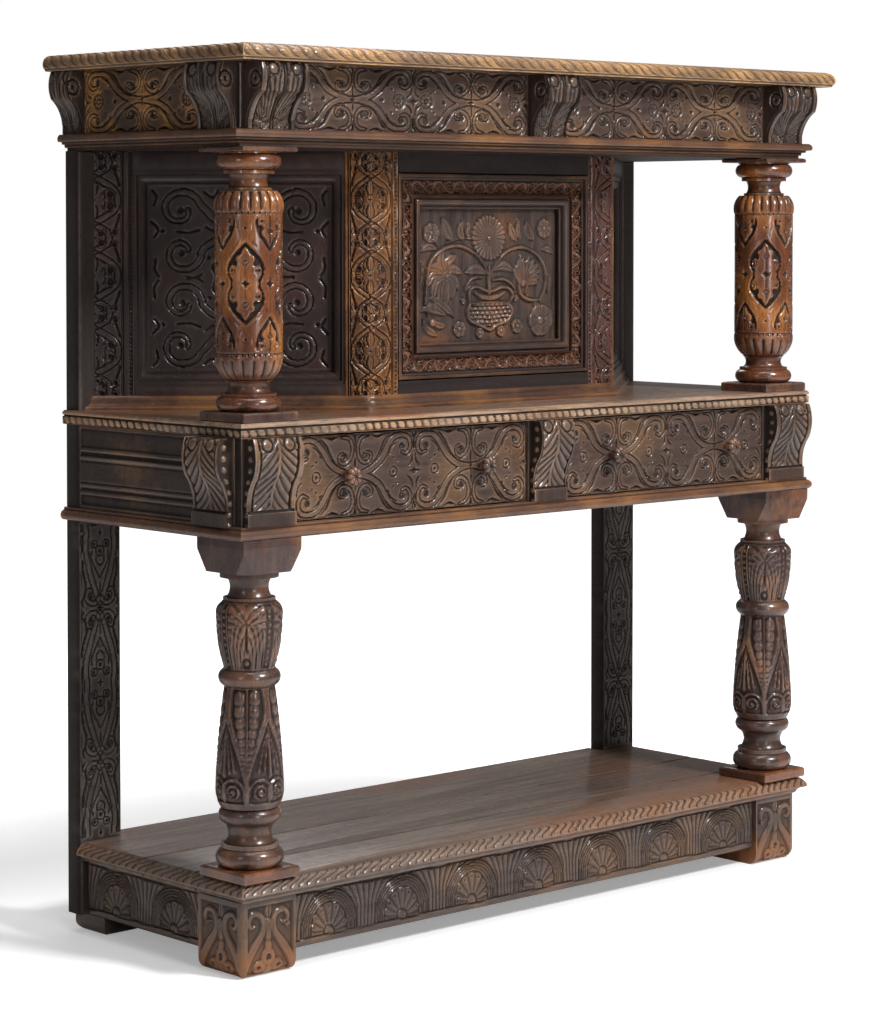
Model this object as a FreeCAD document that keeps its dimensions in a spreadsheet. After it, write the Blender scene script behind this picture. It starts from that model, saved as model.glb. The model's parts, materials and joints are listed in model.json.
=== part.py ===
import FreeCAD, Part
import os
import re
import Sketcher

# Court cupboard of carved oak, in millimetres. +Z is up, the front faces -Y,
# and the origin is on the floor under the middle of the top board.

SIZES = {
    # levels above the floor
    "rail_low": 27, "base_top": 104, "board_top": 131, "capital_low": 545, "tier_low": 591,
    "tier_floor": 609, "shelf_low": 727, "shelf_top": 747, "cornice_low": 1115,
    "frieze_low": 1138, "frieze_top": 1227, "overall_height": 1250,
    # half widths, and distances in front of and behind the middle
    "top_half": 601.5, "top_reach": 226, "back_line": 213, "board_half": 579, "board_front": 192,
    "board_back": 218, "shelf_half": 578.5, "shelf_front": 192,
    # plinth base
    "base_half": 566.5, "base_front": 176, "foot_width": 94, "rail_inset": 8, "rail_thick": 25,
    "rear_foot_width": 70, "front_joint": 75, "back_joint": 43,
    # tenons and their pegs
    "tenon_long": 30, "tenon_thick": 8, "tenon_set": 6, "peg_radius": 4, "peg_level": 66,
    # rear posts
    "post_outer": 571, "post_width": 72, "post_thick": 30,
    # columns and their square blocks
    "column_out": 525, "column_front": 142, "lower_plinth_half": 48, "lower_plinth_rise": 15,
    "capital_head_half": 50, "capital_foot_half": 48.5, "capital_band": 11,
    "capital_head_corner": 73, "capital_foot_corner": 57,
    "upper_plinth_half": 47, "upper_plinth_rise": 13.5, "abacus_half": 47, "abacus_rise": 7,
    # drawer tier
    "tier_half": 571, "tier_front": 177, "nosing_half": 578, "nosing_front": 191, "corner_width": 92,
    "corner_depth": 92, "side_thick": 20, "side_inset": 5, "ridge_low": 627,
    "ridge_high": 681, "ridge_width": 11,
    "muntin_half": 39, "muntin_thick": 25, "partition_half": 10, "tier_back_thick": 18,
    "runner_width": 20, "runner_rise": 3,
    # drawers
    "drawer_inner": 40.5, "drawer_outer": 477.5, "drawer_low": 611, "drawer_high": 724,
    "drawer_front": 180, "drawer_front_thick": 22, "drawer_side_gap": 4, "drawer_side_thick": 10,
    "drawer_side_high": 715, "drawer_end": 150, "drawer_bottom_thick": 8,
    "knob_inner": 134, "knob_outer": 389, "knob_level": 668,
    # brackets, and the places of their outline as shares of their reach and height
    "tier_bracket_width": 84, "frieze_bracket_width": 81, "middle_bracket_width": 67,
    "side_bracket_width": 76, "rear_bracket_width": 42, "bracket_set": 5,
    "frieze_bracket_reach": 42, "frieze_side_reach": 31, "tier_bracket_reach": 28,
    "bracket_head_share": 0.92, "bracket_belly_share": 0.55, "bracket_waist_share": 0.16,
    "bracket_band_share": 0.14, "frieze_waist_share": 0.3, "frieze_foot_share": 0.28,
    "tier_waist_share": 0.45, "tier_foot_share": 0.55,
    # cupboard stage: the front bay and the two canted sides
    "bay_half": 248, "bay_front": 76, "bay_stile": 53, "frame_thick": 22, "bay_bottom_rail": 38,
    "bay_top_rail": 29, "cant_end": 545, "cant_front_stile": 37, "cant_rear_stile": 57,
    "cant_rail_low": 783, "panel_moulding": 22, "moulding_set": 3, "panel_set": 16,
    "base_moulding_rise": 20, "base_moulding_out": 10, "back_board_thick": 15,
    # door, its pins and its lock
    "door_half": 193.5, "door_low": 787, "door_high": 1084, "door_rail": 32, "pin_set": 7,
    "door_moulding_width": 18, "pin_radius": 3, "pin_bore_radius": 3.05, "pin_depth": 15,
    "keyhole_out": 172,
    "keyhole_level": 973, "keyhole_rise": 15, "keyhole_half": 2.5, "lock_width": 36,
    "lock_rise": 60, "lock_thick": 12, "bolt_rise": 18, "bolt_thick": 6, "bolt_length": 34,
    "bolt_gap": 1,
    # cornice and frieze
    "cornice_half": 581.5, "cornice_front": 187.5, "frieze_half": 568, "frieze_front": 177,
    "frieze_thick": 18,
}

# Turned members from the foot up: name, height, radius at its foot, radius at its head, and
# roundness (1 is a half circle outwards, below 0 a hollow).
LOWER_TURNING = (
    ("base_torus", 26, 36.7, 36.7, 0.75),
    ("base_fillet", 6, 39, 39, 0),
    ("base_neck", 27, 35, 35, -0.42),
    ("foot_ring", 22, 34.5, 34.5, 0.75),
    ("foot_flare", 26, 40, 46.5, 0.15),
    ("body", 137, 46.5, 35, 0.03),
    ("waist_ring", 24, 34, 34, 0.7),
    ("bulb_rise", 71, 35, 45.5, 0.08),
    ("bulb_shoulder", 20, 45.5, 35.5, 0.35),
    ("collar", 5, 35.5, 35.5, 0),
    ("throat", 27, 31, 31, -0.35),
    ("head", 8, 40, 40, 0),
)
UPPER_TURNING = (
    ("base_torus", 20.5, 36.2, 36.2, 0.8),
    ("base_fillet", 3.5, 37.5, 37.5, 0),
    ("base_neck", 17.5, 32, 32, -0.5),
    ("cup", 36.5, 30.5, 46, 0.3),
    ("body", 187.5, 46, 46, 0),
    ("dome", 30, 46, 39, 0.3),
    ("collar", 4, 31.5, 31.5, 0),
    ("throat", 19, 28, 28, -0.3),
    ("head_fillet", 6, 35, 35, 0),
    ("head_torus", 21, 36.5, 36.5, 0.8),
    ("head", 2, 40, 40, 0),
)
KNOB_TURNING = (
    ("stem", 12, 6, 6, -0.3),
    ("cup", 7, 8, 13, 0.2),
    ("cap", 10, 13, 3, 0.5),
)
TURNINGS = {"lower": LOWER_TURNING, "upper": UPPER_TURNING, "knob": KNOB_TURNING}
# Roundness of the edges that aren't turned: a quarter-round hollow, the tier's nosing, the
# cornice moulding, and the belly and hollow of a bracket.
QUARTER_HOLLOW = -0.4142
NOSE = 0.56
CORNICE_NOSE = 0.3
BRACKET_BELLY = 0.22
BRACKET_HOLLOW = -0.2
SIDES = (("left", -1), ("right", 1))

# The canted sides in plan: their length, and what a mitre and the post cut take per thickness.
CANT_RUN = "(cant_end - bay_half)"
CANT_DEEP = "(back_line - post_thick + bay_front)"
CANT_LENGTH = f"sqrt({CANT_RUN} ^ 2 + {CANT_DEEP} ^ 2)"
CANT_MITRE = f"(({CANT_LENGTH} - {CANT_RUN}) / {CANT_DEEP})"
CANT_SLOPE = f"({CANT_RUN} / {CANT_DEEP})"
# Where the door turns, and where its bolt lies at rest: it shoots behind the right stile.
PIN_X = "pin_set - door_half"
PIN_Y = "pin_set - bay_front"
LOCK_INNER = "door_half - lock_width"
BOLT_FRONT = "(frame_thick - bay_front + bolt_gap)"
BOLT_LOW = "(keyhole_level - bolt_rise / 2)"
BOLT_HIGH = "(keyhole_level + bolt_rise / 2)"

for post, members in TURNINGS.items():
    for member, rise, foot, head, roundness in members:
        SIZES[f"{post}_{member}_tall"] = rise
        SIZES[f"{post}_{member}_foot"] = foot
        SIZES[f"{post}_{member}_head"] = head

doc = FreeCAD.newDocument("CourtCupboard")
sheet = doc.addObject("Spreadsheet::Sheet", "Sizes")
for row, (alias, number) in enumerate(SIZES.items(), 1):
    sheet.set(f"A{row}", str(number))
    sheet.setAlias(f"A{row}", alias)
doc.recompute()

subparts = []


def bound(text):
    """The expression with each sheet name written as its full address."""
    def address(word):
        return "Sizes." + word.group() if word.group() in SIZES else word.group()
    return re.sub(r"[a-z]+(?:_[a-z]+)*", address, text)


def value(text):
    return float(sheet.evalExpression(bound(text)))


def keep(label, piece):
    """Name a finished sub-part and list it for export."""
    piece.Label = label
    subparts.append(piece)
    return piece


def place(piece, x="0", y="0", z="0", turn=0, about=(0, 0, 1)):
    """Turn a piece about an axis through its own origin, then bind where that origin stands."""
    axis = FreeCAD.Vector(*about)
    piece.Placement = FreeCAD.Placement(FreeCAD.Vector(), FreeCAD.Rotation(axis, turn))
    for letter, text in zip("xyz", (x, y, z)):
        piece.setExpression(f"Placement.Base.{letter}", bound(text))
    return piece


def board(low, high):
    """A squared piece between two corners, each given as three expressions."""
    box = doc.addObject("Part::Box", "Board")
    for name, letter, near, far in zip(("Length", "Width", "Height"), "xyz", low, high):
        box.setExpression(name, bound(f"({far}) - ({near})"))
        box.setExpression(f"Placement.Base.{letter}", bound(near))
    return box


def across(side, inner, outer):
    """The low and high x of a piece between two distances out on one side."""
    if side < 0:
        return f"-({outer})", f"-({inner})"
    return inner, outer


def pin(radius, low, high, x, y):
    """An upright round pin."""
    rod = doc.addObject("Part::Cylinder", "Pin")
    rod.setExpression("Radius", bound(radius))
    rod.setExpression("Height", bound(f"({high}) - ({low})"))
    return place(rod, x, y, low)


def gather(pieces):
    """Several separate solids as one object."""
    group = doc.addObject("Part::Compound", "Group")
    group.Links = pieces
    return group


def cut(base, tools):
    result = doc.addObject("Part::Cut", "Cut")
    result.Base = base
    result.Tool = tools[0] if len(tools) == 1 else gather(tools)
    return result


def arcThrough(start, end, roundness):
    """An arc that bulges to the right of the way from start to end."""
    middle = (start + end) / 2
    way = end - start
    outward = FreeCAD.Vector(way.y, -way.x, 0)
    crown = middle + outward * (roundness / 2)
    return Part.Arc(start, crown, end)


def drawOutline(sketch, outline):
    """Draw a closed outline counter-clockwise, each corner bound to its two expressions.

    A corner is (x, y) or (x, y, roundness of the edge that leaves it).
    """
    corners = [FreeCAD.Vector(value(corner[0]), value(corner[1]), 0) for corner in outline]
    count = len(outline)
    starts = []
    ends = []
    for number, corner in enumerate(outline):
        start, end = corners[number], corners[(number + 1) % count]
        roundness = corner[2] if len(corner) > 2 else 0
        if roundness:
            sketch.addGeometry(arcThrough(start, end, roundness))
        else:
            sketch.addGeometry(Part.LineSegment(start, end))
        starts.append(2 if roundness < 0 else 1)
        ends.append(1 if roundness < 0 else 2)
    for number in range(count):
        after = (number + 1) % count
        sketch.addConstraint(
            Sketcher.Constraint("Coincident", number, ends[number], after, starts[after]))
    for number, corner in enumerate(outline):
        for kind, text in zip(("DistanceX", "DistanceY"), corner):
            bindPoint(sketch, kind, number, starts[number], text)
        if len(corner) > 2 and corner[2]:
            bindCentre(sketch, number, corner, outline[(number + 1) % count], corner[2])


def bindPoint(sketch, kind, edge, point, text):
    index = sketch.addConstraint(Sketcher.Constraint(kind, -1, 1, edge, point, value(text)))
    sketch.setExpression(f"Constraints[{index}]", bound(text))


def bindCentre(sketch, edge, start, end, roundness):
    """Hold an arc's centre by the coordinate that settles its radius."""
    share = (1 - roundness ** 2) / (4 * roundness)
    x_text = f"(({start[0]}) + ({end[0]})) / 2 - {share} * (({end[1]}) - ({start[1]}))"
    y_text = f"(({start[1]}) + ({end[1]})) / 2 + {share} * (({end[0]}) - ({start[0]}))"
    if abs(value(f"({end[1]}) - ({start[1]})")) > abs(value(f"({end[0]}) - ({start[0]})")):
        bindPoint(sketch, "DistanceX", edge, 3, x_text)
    else:
        bindPoint(sketch, "DistanceY", edge, 3, y_text)


def sketchOn(body, role, outline, lift="0"):
    sketch = body.newObject("Sketcher::SketchObject", "Outline")
    plane = next(item for item in body.Origin.OriginFeatures if item.Role == role)
    sketch.AttachmentSupport = (plane, [""])
    sketch.MapMode = "FlatFace"
    sketch.setExpression("AttachmentOffset.Base.z", bound(lift))
    drawOutline(sketch, outline)
    return sketch


def prism(view, outline, low, high, body=None):
    """A sawn piece: an outline in plan, front or side view, from low to high across it."""
    body = body or doc.addObject("PartDesign::Body", "Prism")
    role = {"plan": "XY_Plane", "front": "XZ_Plane", "side": "YZ_Plane"}[view]
    lift = f"-({high})" if view == "front" else low
    pad = body.newObject("PartDesign::Pad", "Sawn")
    pad.Profile = sketchOn(body, role, outline, lift)
    pad.setExpression("Length", bound(f"({high}) - ({low})"))
    return body


def turned(post, foot, body=None):
    """A turned piece about the Z axis, standing at the level foot, from its member table."""
    body = body or doc.addObject("PartDesign::Body", "Turned")
    outline = [("0", foot)]
    level = foot
    for member, rise, low_radius, high_radius, roundness in TURNINGS[post]:
        outline.append((f"{post}_{member}_foot", level, roundness))
        level = f"{level} + {post}_{member}_tall"
        outline.append((f"{post}_{member}_head", level))
    outline.append(("0", level))
    outline = [corner for corner, before in zip(outline, [None] + outline)
               if before is None or not samePlace(corner, before)]
    turn = body.newObject("PartDesign::Revolution", "Turning")
    turn.Profile = sketchOn(body, "XZ_Plane", outline)
    turn.ReferenceAxis = (turn.Profile[0], ["V_Axis"])
    turn.Angle = 360
    return body


def samePlace(corner, other):
    return all(abs(value(one) - value(two)) < 1e-6 for one, two in zip(corner[:2], other[:2]))


def rectangle(low_x, low_y, high_x, high_y):
    return [(low_x, low_y), (high_x, low_y), (high_x, high_y), (low_x, high_y)]


def postNotches(low, high):
    """Blocks where a board is cut away round the two rear posts."""
    return [board((x_low, "back_line - post_thick", low), (x_high, "board_back + 1", high))
            for side in (-1, 1)
            for x_low, x_high in [across(side, "post_outer - post_width", "post_outer")]]


def tenons(low_x, high_x, y, low, high):
    """A pair of tenons, one on each side, centred on y between two levels."""
    pair = []
    for side in (-1, 1):
        near, far = across(side, low_x, high_x)
        pair.append(board((near, f"{y} - tenon_thick / 2", f"{low} + tenon_set"),
                          (far, f"{y} + tenon_thick / 2", f"{high} - tenon_set")))
    return pair


def pegs(x, low_y, high_y, level):
    """A pair of pegs driven in from the front, one on each side."""
    pair = []
    for side in (-1, 1):
        rod = doc.addObject("Part::Cylinder", "Peg")
        rod.setExpression("Radius", bound("peg_radius"))
        rod.setExpression("Height", bound(f"({high_y}) - ({low_y})"))
        pair.append(place(rod, f"{side} * ({x})", low_y, level, turn=-90, about=(1, 0, 0)))
    return pair


def fuse(pieces):
    result = doc.addObject("Part::MultiFuse", "Joined")
    result.Shapes = pieces
    return result


def makeBase():
    """Feet, the rails tenoned and pegged between them, and the three pot board planks."""
    foot_inner = "(base_half - foot_width)"
    foot_back = "foot_width - base_front"
    rail_face = "base_half - rail_inset"
    rail_back = "base_half - rail_inset - rail_thick"
    rail_middle = "rail_inset + rail_thick / 2 - base_front"
    rail_tenons = tenons(foot_inner, f"{foot_inner} + tenon_long", rail_middle,
                         "rail_low", "base_top")
    rail_pegs = pegs(f"{foot_inner} + tenon_long / 2", "-base_front",
                     f"{rail_middle} + tenon_thick", "peg_level")
    feet = []
    rear_feet = []
    side_rails = []
    for side in (-1, 1):
        x_low, x_high = across(side, foot_inner, "base_half")
        feet.append(board((x_low, "-base_front", "0"), (x_high, foot_back, "base_top")))
        x_low, x_high = across(side, f"{rail_face} - rear_foot_width", rail_face)
        rear_feet.append(board((x_low, "back_line - rear_foot_width", "0"),
                               (x_high, "back_line", "rail_low")))
        x_low, x_high = across(side, rail_back, rail_face)
        side_rails.append(board((x_low, foot_back, "rail_low"),
                                (x_high, "back_line - post_thick", "base_top")))
    keep("front_feet", cut(gather(feet), rail_tenons + rail_pegs))
    keep("rear_feet", gather(rear_feet))
    keep("side_base_rails", gather(side_rails))
    rail = board((f"-{foot_inner}", "rail_inset - base_front", "rail_low"),
                 (foot_inner, "rail_inset + rail_thick - base_front", "base_top"))
    keep("front_base_rail", cut(fuse([rail] + rail_tenons), rail_pegs))
    keep("back_base_rail",
         board(("post_width - post_outer", "back_line - rail_thick", "rail_low"),
               ("post_outer - post_width", "back_line", "base_top")))
    keep("front_pot_plank",
         board(("-board_half", "-board_front", "base_top"),
               ("board_half", "-front_joint", "board_top")))
    keep("middle_pot_plank",
         board(("-board_half", "-front_joint", "base_top"),
               ("board_half", "back_joint", "board_top")))
    back_plank = board(("-board_half", "back_joint", "base_top"),
                       ("board_half", "board_back", "board_top"))
    keep("back_pot_plank", cut(back_plank, postNotches("base_top", "board_top")))
    return rail_pegs


def makePosts():
    """The two rear posts run from the foot of the base rails to the cornice."""
    for name, side in SIDES:
        x_low, x_high = across(side, "post_outer - post_width", "post_outer")
        keep(f"{name}_rear_post",
             board((x_low, "back_line - post_thick", "rail_low"),
                   (x_high, "back_line", "cornice_low")))


def square(half):
    return rectangle(f"-{half}", f"-{half}", half, half)


def taper(foot_half, head_half):
    """The outline of a capital across its faces or corners: a head band over a taper."""
    return [(f"-{foot_half}", "capital_low"), (foot_half, "capital_low"),
            (head_half, "tier_low - capital_band"), (head_half, "tier_low"),
            (f"-{head_half}", "tier_low"), (f"-{head_half}", "tier_low - capital_band")]


def capitalBlock():
    """A square block whose four corners are cut back towards its foot."""
    reach = "capital_head_corner"
    faces = taper("capital_foot_half", "capital_head_half")
    corners = taper("capital_foot_corner", reach)
    views = [prism(view, outline, f"-{reach}", reach)
             for outline in (faces, corners) for view in ("front", "side")]
    for diagonal in views[2:]:
        place(diagonal, turn=45)
    block = doc.addObject("Part::MultiCommon", "Capital")
    block.Shapes = views
    return block


def makeColumns():
    """Turned columns between the stages, with their square slabs and blocks."""
    plinths = []
    capitals = []
    for name, side in SIDES:
        out = f"{side} * column_out"
        plinth = prism("plan", square("lower_plinth_half"), "board_top",
                       "board_top + lower_plinth_rise")
        plinths.append(place(plinth, out, "-column_front"))
        lower = turned("lower", "board_top + lower_plinth_rise")
        keep(f"{name}_lower_column", place(lower, out, "-column_front"))
        capitals.append(place(capitalBlock(), out, "-column_front"))
        upper = prism("plan", square("upper_plinth_half"), "shelf_top",
                      "shelf_top + upper_plinth_rise")
        turned("upper", "shelf_top + upper_plinth_rise", upper)
        prism("plan", square("abacus_half"), "cornice_low - abacus_rise", "cornice_low", upper)
        keep(f"{name}_upper_column", place(upper, out, "-column_front"))
    keep("lower_plinths", gather(plinths))
    keep("lower_capitals", gather(capitals))


def nosedStrip(half, front, inner_half, inner_front, low, high, roundness):
    """A moulding strip round the front and both ends, its nose rounded all along."""
    core = prism("plan", rectangle(f"-({inner_half})", f"-({inner_front})", inner_half,
                                   "back_line"), low, high)
    front_view = [(f"-{half}", low), (half, low, roundness), (half, high),
                  (f"-{half}", high, roundness)]
    side_view = [(f"-{front}", low), ("back_line", low), ("back_line", high),
                 (f"-{front}", high, roundness)]
    nosed = doc.addObject("Part::Common", "Nosed")
    nosed.Base = prism("front", front_view, f"-(2 * {front})", "back_line")
    nosed.Tool = prism("side", side_view, f"-(2 * {half})", f"2 * {half}")
    return cut(nosed, [core])


def bracket(stage, reach, width, low, high):
    """A scrolled bracket: its back at the origin, its front towards -Y, its foot at low."""
    tall = f"(({high}) - ({low}))"
    head = f"-{reach} * bracket_head_share"
    foot = f"-{reach} * {stage}_foot_share"
    outline = [("0", low), ("0", high), (head, high, BRACKET_BELLY),
               (head, f"{low} + {tall} * bracket_belly_share", BRACKET_HOLLOW),
               (f"-{reach} * {stage}_waist_share", f"{low} + {tall} * bracket_waist_share"),
               (foot, f"{low} + {tall} * bracket_band_share"), (foot, low)]
    return prism("side", outline, f"-{width} / 2", f"{width} / 2")


def makeTier():
    """The drawer stage: floor, nosing, corner blocks, sides, back, divider and runners."""
    keep("tier_floor_board",
         cut(board(("-tier_half", "-tier_front", "tier_low"),
                   ("tier_half", "back_line", "tier_floor")),
             postNotches("tier_low", "tier_floor")))
    nosing = nosedStrip("nosing_half", "nosing_front", "tier_half", "tier_front",
                        "tier_low", "tier_floor", NOSE)
    keep("tier_nosing", cut(nosing, postNotches("tier_low", "tier_floor")))
    blocks = []
    panels = []
    corner_inner = "tier_half - corner_width"
    corner_back = "corner_depth - tier_front"
    post_front = "back_line - post_thick"
    for side in (-1, 1):
        x_low, x_high = across(side, corner_inner, "tier_half")
        blocks.append(board((x_low, "-tier_front", "tier_floor"),
                            (x_high, corner_back, "shelf_low")))
        face = "tier_half - side_inset"
        x_low, x_high = across(side, f"{face} - side_thick", face)
        ridges = []
        for level in ("ridge_low", "ridge_high"):
            r_low, r_high = across(side, face, "tier_half")
            ridges.append(board((r_low, corner_back, level),
                                (r_high, post_front, f"{level} + ridge_width")))
        panels.append(fuse([board((x_low, corner_back, "tier_floor"),
                                  (x_high, post_front, "shelf_low"))] + ridges))
    keep("tier_side_panels", gather(panels))
    keep("tier_corner_blocks", gather(blocks))
    inner_post = "post_outer - post_width"
    keep("tier_back_board",
         board((f"-({inner_post})", "back_line - tier_back_thick", "tier_floor"),
               (inner_post, "back_line", "shelf_low")))
    muntin = board(("-muntin_half", "-tier_front", "tier_floor"),
                   ("muntin_half", "muntin_thick - tier_front", "shelf_low"))
    partition = board(("-partition_half", "muntin_thick - tier_front", "tier_floor"),
                      ("partition_half", "back_line - tier_back_thick", "shelf_low"))
    keep("tier_divider", fuse([muntin, partition]))
    runners = []
    for side in (-1, 1):
        for near in ("drawer_inner + drawer_side_gap",
                     "drawer_outer - drawer_side_gap - runner_width"):
            x_low, x_high = across(side, near, f"{near} + runner_width")
            runners.append(board((x_low, "muntin_thick - tier_front", "tier_floor"),
                                 (x_high, "drawer_end", "tier_floor + runner_rise")))
    keep("drawer_runners", gather(runners))


def makeTierBrackets():
    side_middle = "corner_depth / 2 - tier_front"
    corner_middle = "tier_half - corner_width / 2"
    fronts = []
    for width, x in (("tier_bracket_width", f"-({corner_middle})"),
                     ("middle_bracket_width", "0"), ("tier_bracket_width", corner_middle)):
        piece = bracket("tier", "tier_bracket_reach", width, "tier_floor", "shelf_low")
        fronts.append(place(piece, x, "-tier_front"))
    keep("tier_front_brackets", gather(fronts))
    sides = []
    for side in (-1, 1):
        piece = bracket("tier", "tier_bracket_reach", "side_bracket_width", "tier_floor",
                        "shelf_low")
        sides.append(place(piece, f"{side} * tier_half", side_middle, turn=90 * side))
    keep("tier_side_brackets", gather(sides))


def makeDrawer(name, side):
    """One drawer: front, two sides, back, bottom and its pair of knobs."""
    body_inner = "drawer_inner + drawer_side_gap"
    body_outer = "drawer_outer - drawer_side_gap"
    front_back = "drawer_front_thick - drawer_front"
    floor = "tier_floor + runner_rise"
    x_low, x_high = across(side, "drawer_inner", "drawer_outer")
    keep(f"{name}_drawer_front",
         board((x_low, "-drawer_front", "drawer_low"), (x_high, front_back, "drawer_high")))
    cheeks = []
    for near in (body_inner, f"{body_outer} - drawer_side_thick"):
        x_low, x_high = across(side, near, f"{near} + drawer_side_thick")
        cheeks.append(board((x_low, front_back, floor), (x_high, "drawer_end", "drawer_side_high")))
    keep(f"{name}_drawer_sides", gather(cheeks))
    x_low, x_high = across(side, f"{body_inner} + drawer_side_thick",
                           f"{body_outer} - drawer_side_thick")
    keep(f"{name}_drawer_back",
         board((x_low, "drawer_end - drawer_side_thick", f"{floor} + drawer_bottom_thick"),
               (x_high, "drawer_end", "drawer_side_high")))
    keep(f"{name}_drawer_bottom",
         board((x_low, front_back, floor),
               (x_high, "drawer_end", f"{floor} + drawer_bottom_thick")))
    knobs = [place(turned("knob", "0"), f"{side} * {out}", "-drawer_front", "knob_level",
                   turn=90, about=(1, 0, 0)) for out in ("knob_inner", "knob_outer")]
    keep(f"{name}_drawer_knobs", gather(knobs))


def cantPoint(side, along, inward="0"):
    """A plan point on a canted side: along it from the bay corner, and in from its face."""
    run = "(cant_end - bay_half)"
    deep = "(back_line - post_thick + bay_front)"
    return (f"{side} * (bay_half + (({along}) * {run} - ({inward}) * {deep}) / {CANT_LENGTH})",
            f"(({along}) * {deep} + ({inward}) * {run}) / {CANT_LENGTH} - bay_front")


def counterClockwise(side, outline):
    return outline if side > 0 else outline[::-1]


def cantPiece(side, near, far, face, back, low, high, near_cut="0", far_cut="0"):
    """An upright piece of a canted side; the cuts shorten its inner face at either end."""
    outline = [cantPoint(side, near, face), cantPoint(side, far, face),
               cantPoint(side, f"{far} - {far_cut}", back),
               cantPoint(side, f"{near} + {near_cut}", back)]
    return prism("plan", counterClockwise(side, outline), low, high)


def makeCants():
    """Each canted side: a frame of two stiles and two rails, its moulding and its panel."""
    rear = f"{CANT_LENGTH} - cant_rear_stile"
    mouldings = []
    for name, side in SIDES:
        frame = fuse([
            cantPiece(side, "0", "cant_front_stile", "0", "frame_thick", "shelf_top",
                      "cornice_low", near_cut=f"frame_thick * {CANT_MITRE}"),
            cantPiece(side, rear, CANT_LENGTH, "0", "frame_thick", "shelf_top", "cornice_low",
                      far_cut=f"frame_thick * {CANT_SLOPE}"),
            cantPiece(side, "cant_front_stile", rear, "0", "frame_thick", "shelf_top",
                      "cant_rail_low"),
            cantPiece(side, "cant_front_stile", rear, "0", "frame_thick",
                      "cornice_low - bay_top_rail", "cornice_low")])
        keep(f"{name}_cant_frame", frame)
        ring = cut(cantPiece(side, "cant_front_stile", rear, "moulding_set", "panel_set",
                             "cant_rail_low", "cornice_low - bay_top_rail"),
                   [cantPiece(side, "cant_front_stile + panel_moulding",
                              f"{rear} - panel_moulding", "0", "frame_thick",
                              "cant_rail_low + panel_moulding",
                              "cornice_low - bay_top_rail - panel_moulding")])
        panel = cantPiece(side, "cant_front_stile", rear, "panel_set", "frame_thick",
                          "cant_rail_low", "cornice_low - bay_top_rail")
        mouldings.append(ring)
        keep(f"{name}_cant_panel", panel)
    keep("cant_mouldings", gather(mouldings))


def makeBay():
    """The bay's stiles and rails, tenoned and pegged, its base moulding and the back board."""
    back = "frame_thick - bay_front"
    inner = "bay_half - bay_stile"
    stiles = []
    for side in (-1, 1):
        outline = [(f"{side} * ({inner})", "-bay_front"), (f"{side} * bay_half", "-bay_front"),
                   cantPoint(side, f"frame_thick * {CANT_MITRE}", "frame_thick"),
                   (f"{side} * ({inner})", back)]
        stiles.append(prism("plan", counterClockwise(side, outline), "shelf_top", "cornice_low"))
    rail_top = "shelf_top + bay_bottom_rail"
    rail_low = "cornice_low - bay_top_rail"
    middle = "frame_thick / 2 - bay_front"
    far = f"{inner} + tenon_long"
    rail_tenons = (tenons(inner, far, middle, "shelf_top", rail_top)
                   + tenons(inner, far, middle, rail_low, "cornice_low"))
    rail_pegs = []
    for level in (f"{rail_top} - 2 * tenon_set", f"{rail_low} + bay_top_rail / 2"):
        rail_pegs += pegs(f"{inner} + tenon_long / 2", "-bay_front", f"{back} - tenon_set / 2",
                          level)
    keep("bay_stiles", cut(gather(stiles), rail_tenons + rail_pegs))
    rails = fuse([board((f"-({inner})", "-bay_front", low), (inner, back, high))
                  for low, high in (("shelf_top", rail_top), (rail_low, "cornice_low"))]
                 + rail_tenons)
    holes = [pin("pin_radius", low, high, PIN_X, PIN_Y)
             for low, high in ((f"{rail_top} - pin_depth", rail_top),
                               (rail_low, f"{rail_low} + pin_depth"))]
    keep("bay_rails", cut(rails, holes + rail_pegs))
    pins = [pin("pin_radius", low, high, PIN_X, PIN_Y)
            for low, high in ((f"{rail_top} - pin_depth", "door_low + pin_depth"),
                              ("door_high - pin_depth", f"{rail_low} + pin_depth"))]
    keep("door_pins", gather(pins))
    slope = f"base_moulding_out * {CANT_LENGTH} / (back_line - post_thick + bay_front)"
    outer_bay = f"bay_half + base_moulding_out * {CANT_MITRE}"
    outer_front = "-(bay_front + base_moulding_out)"
    post_front = "back_line - post_thick"
    outline = [(f"-(cant_end + {slope})", post_front), (f"-({outer_bay})", outer_front),
               (outer_bay, outer_front), (f"cant_end + {slope}", post_front),
               ("cant_end", post_front), ("bay_half", "-bay_front"),
               ("-bay_half", "-bay_front"), ("-cant_end", post_front)]
    keep("cupboard_base_moulding",
         prism("plan", outline, "shelf_top", "shelf_top + base_moulding_rise"))
    inner_post = "post_outer - post_width"
    keep("cupboard_back_board",
         board((f"-({inner_post})", "back_line - back_board_thick", "shelf_top"),
               (inner_post, "back_line", "cornice_low")))
    return rail_pegs


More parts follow.
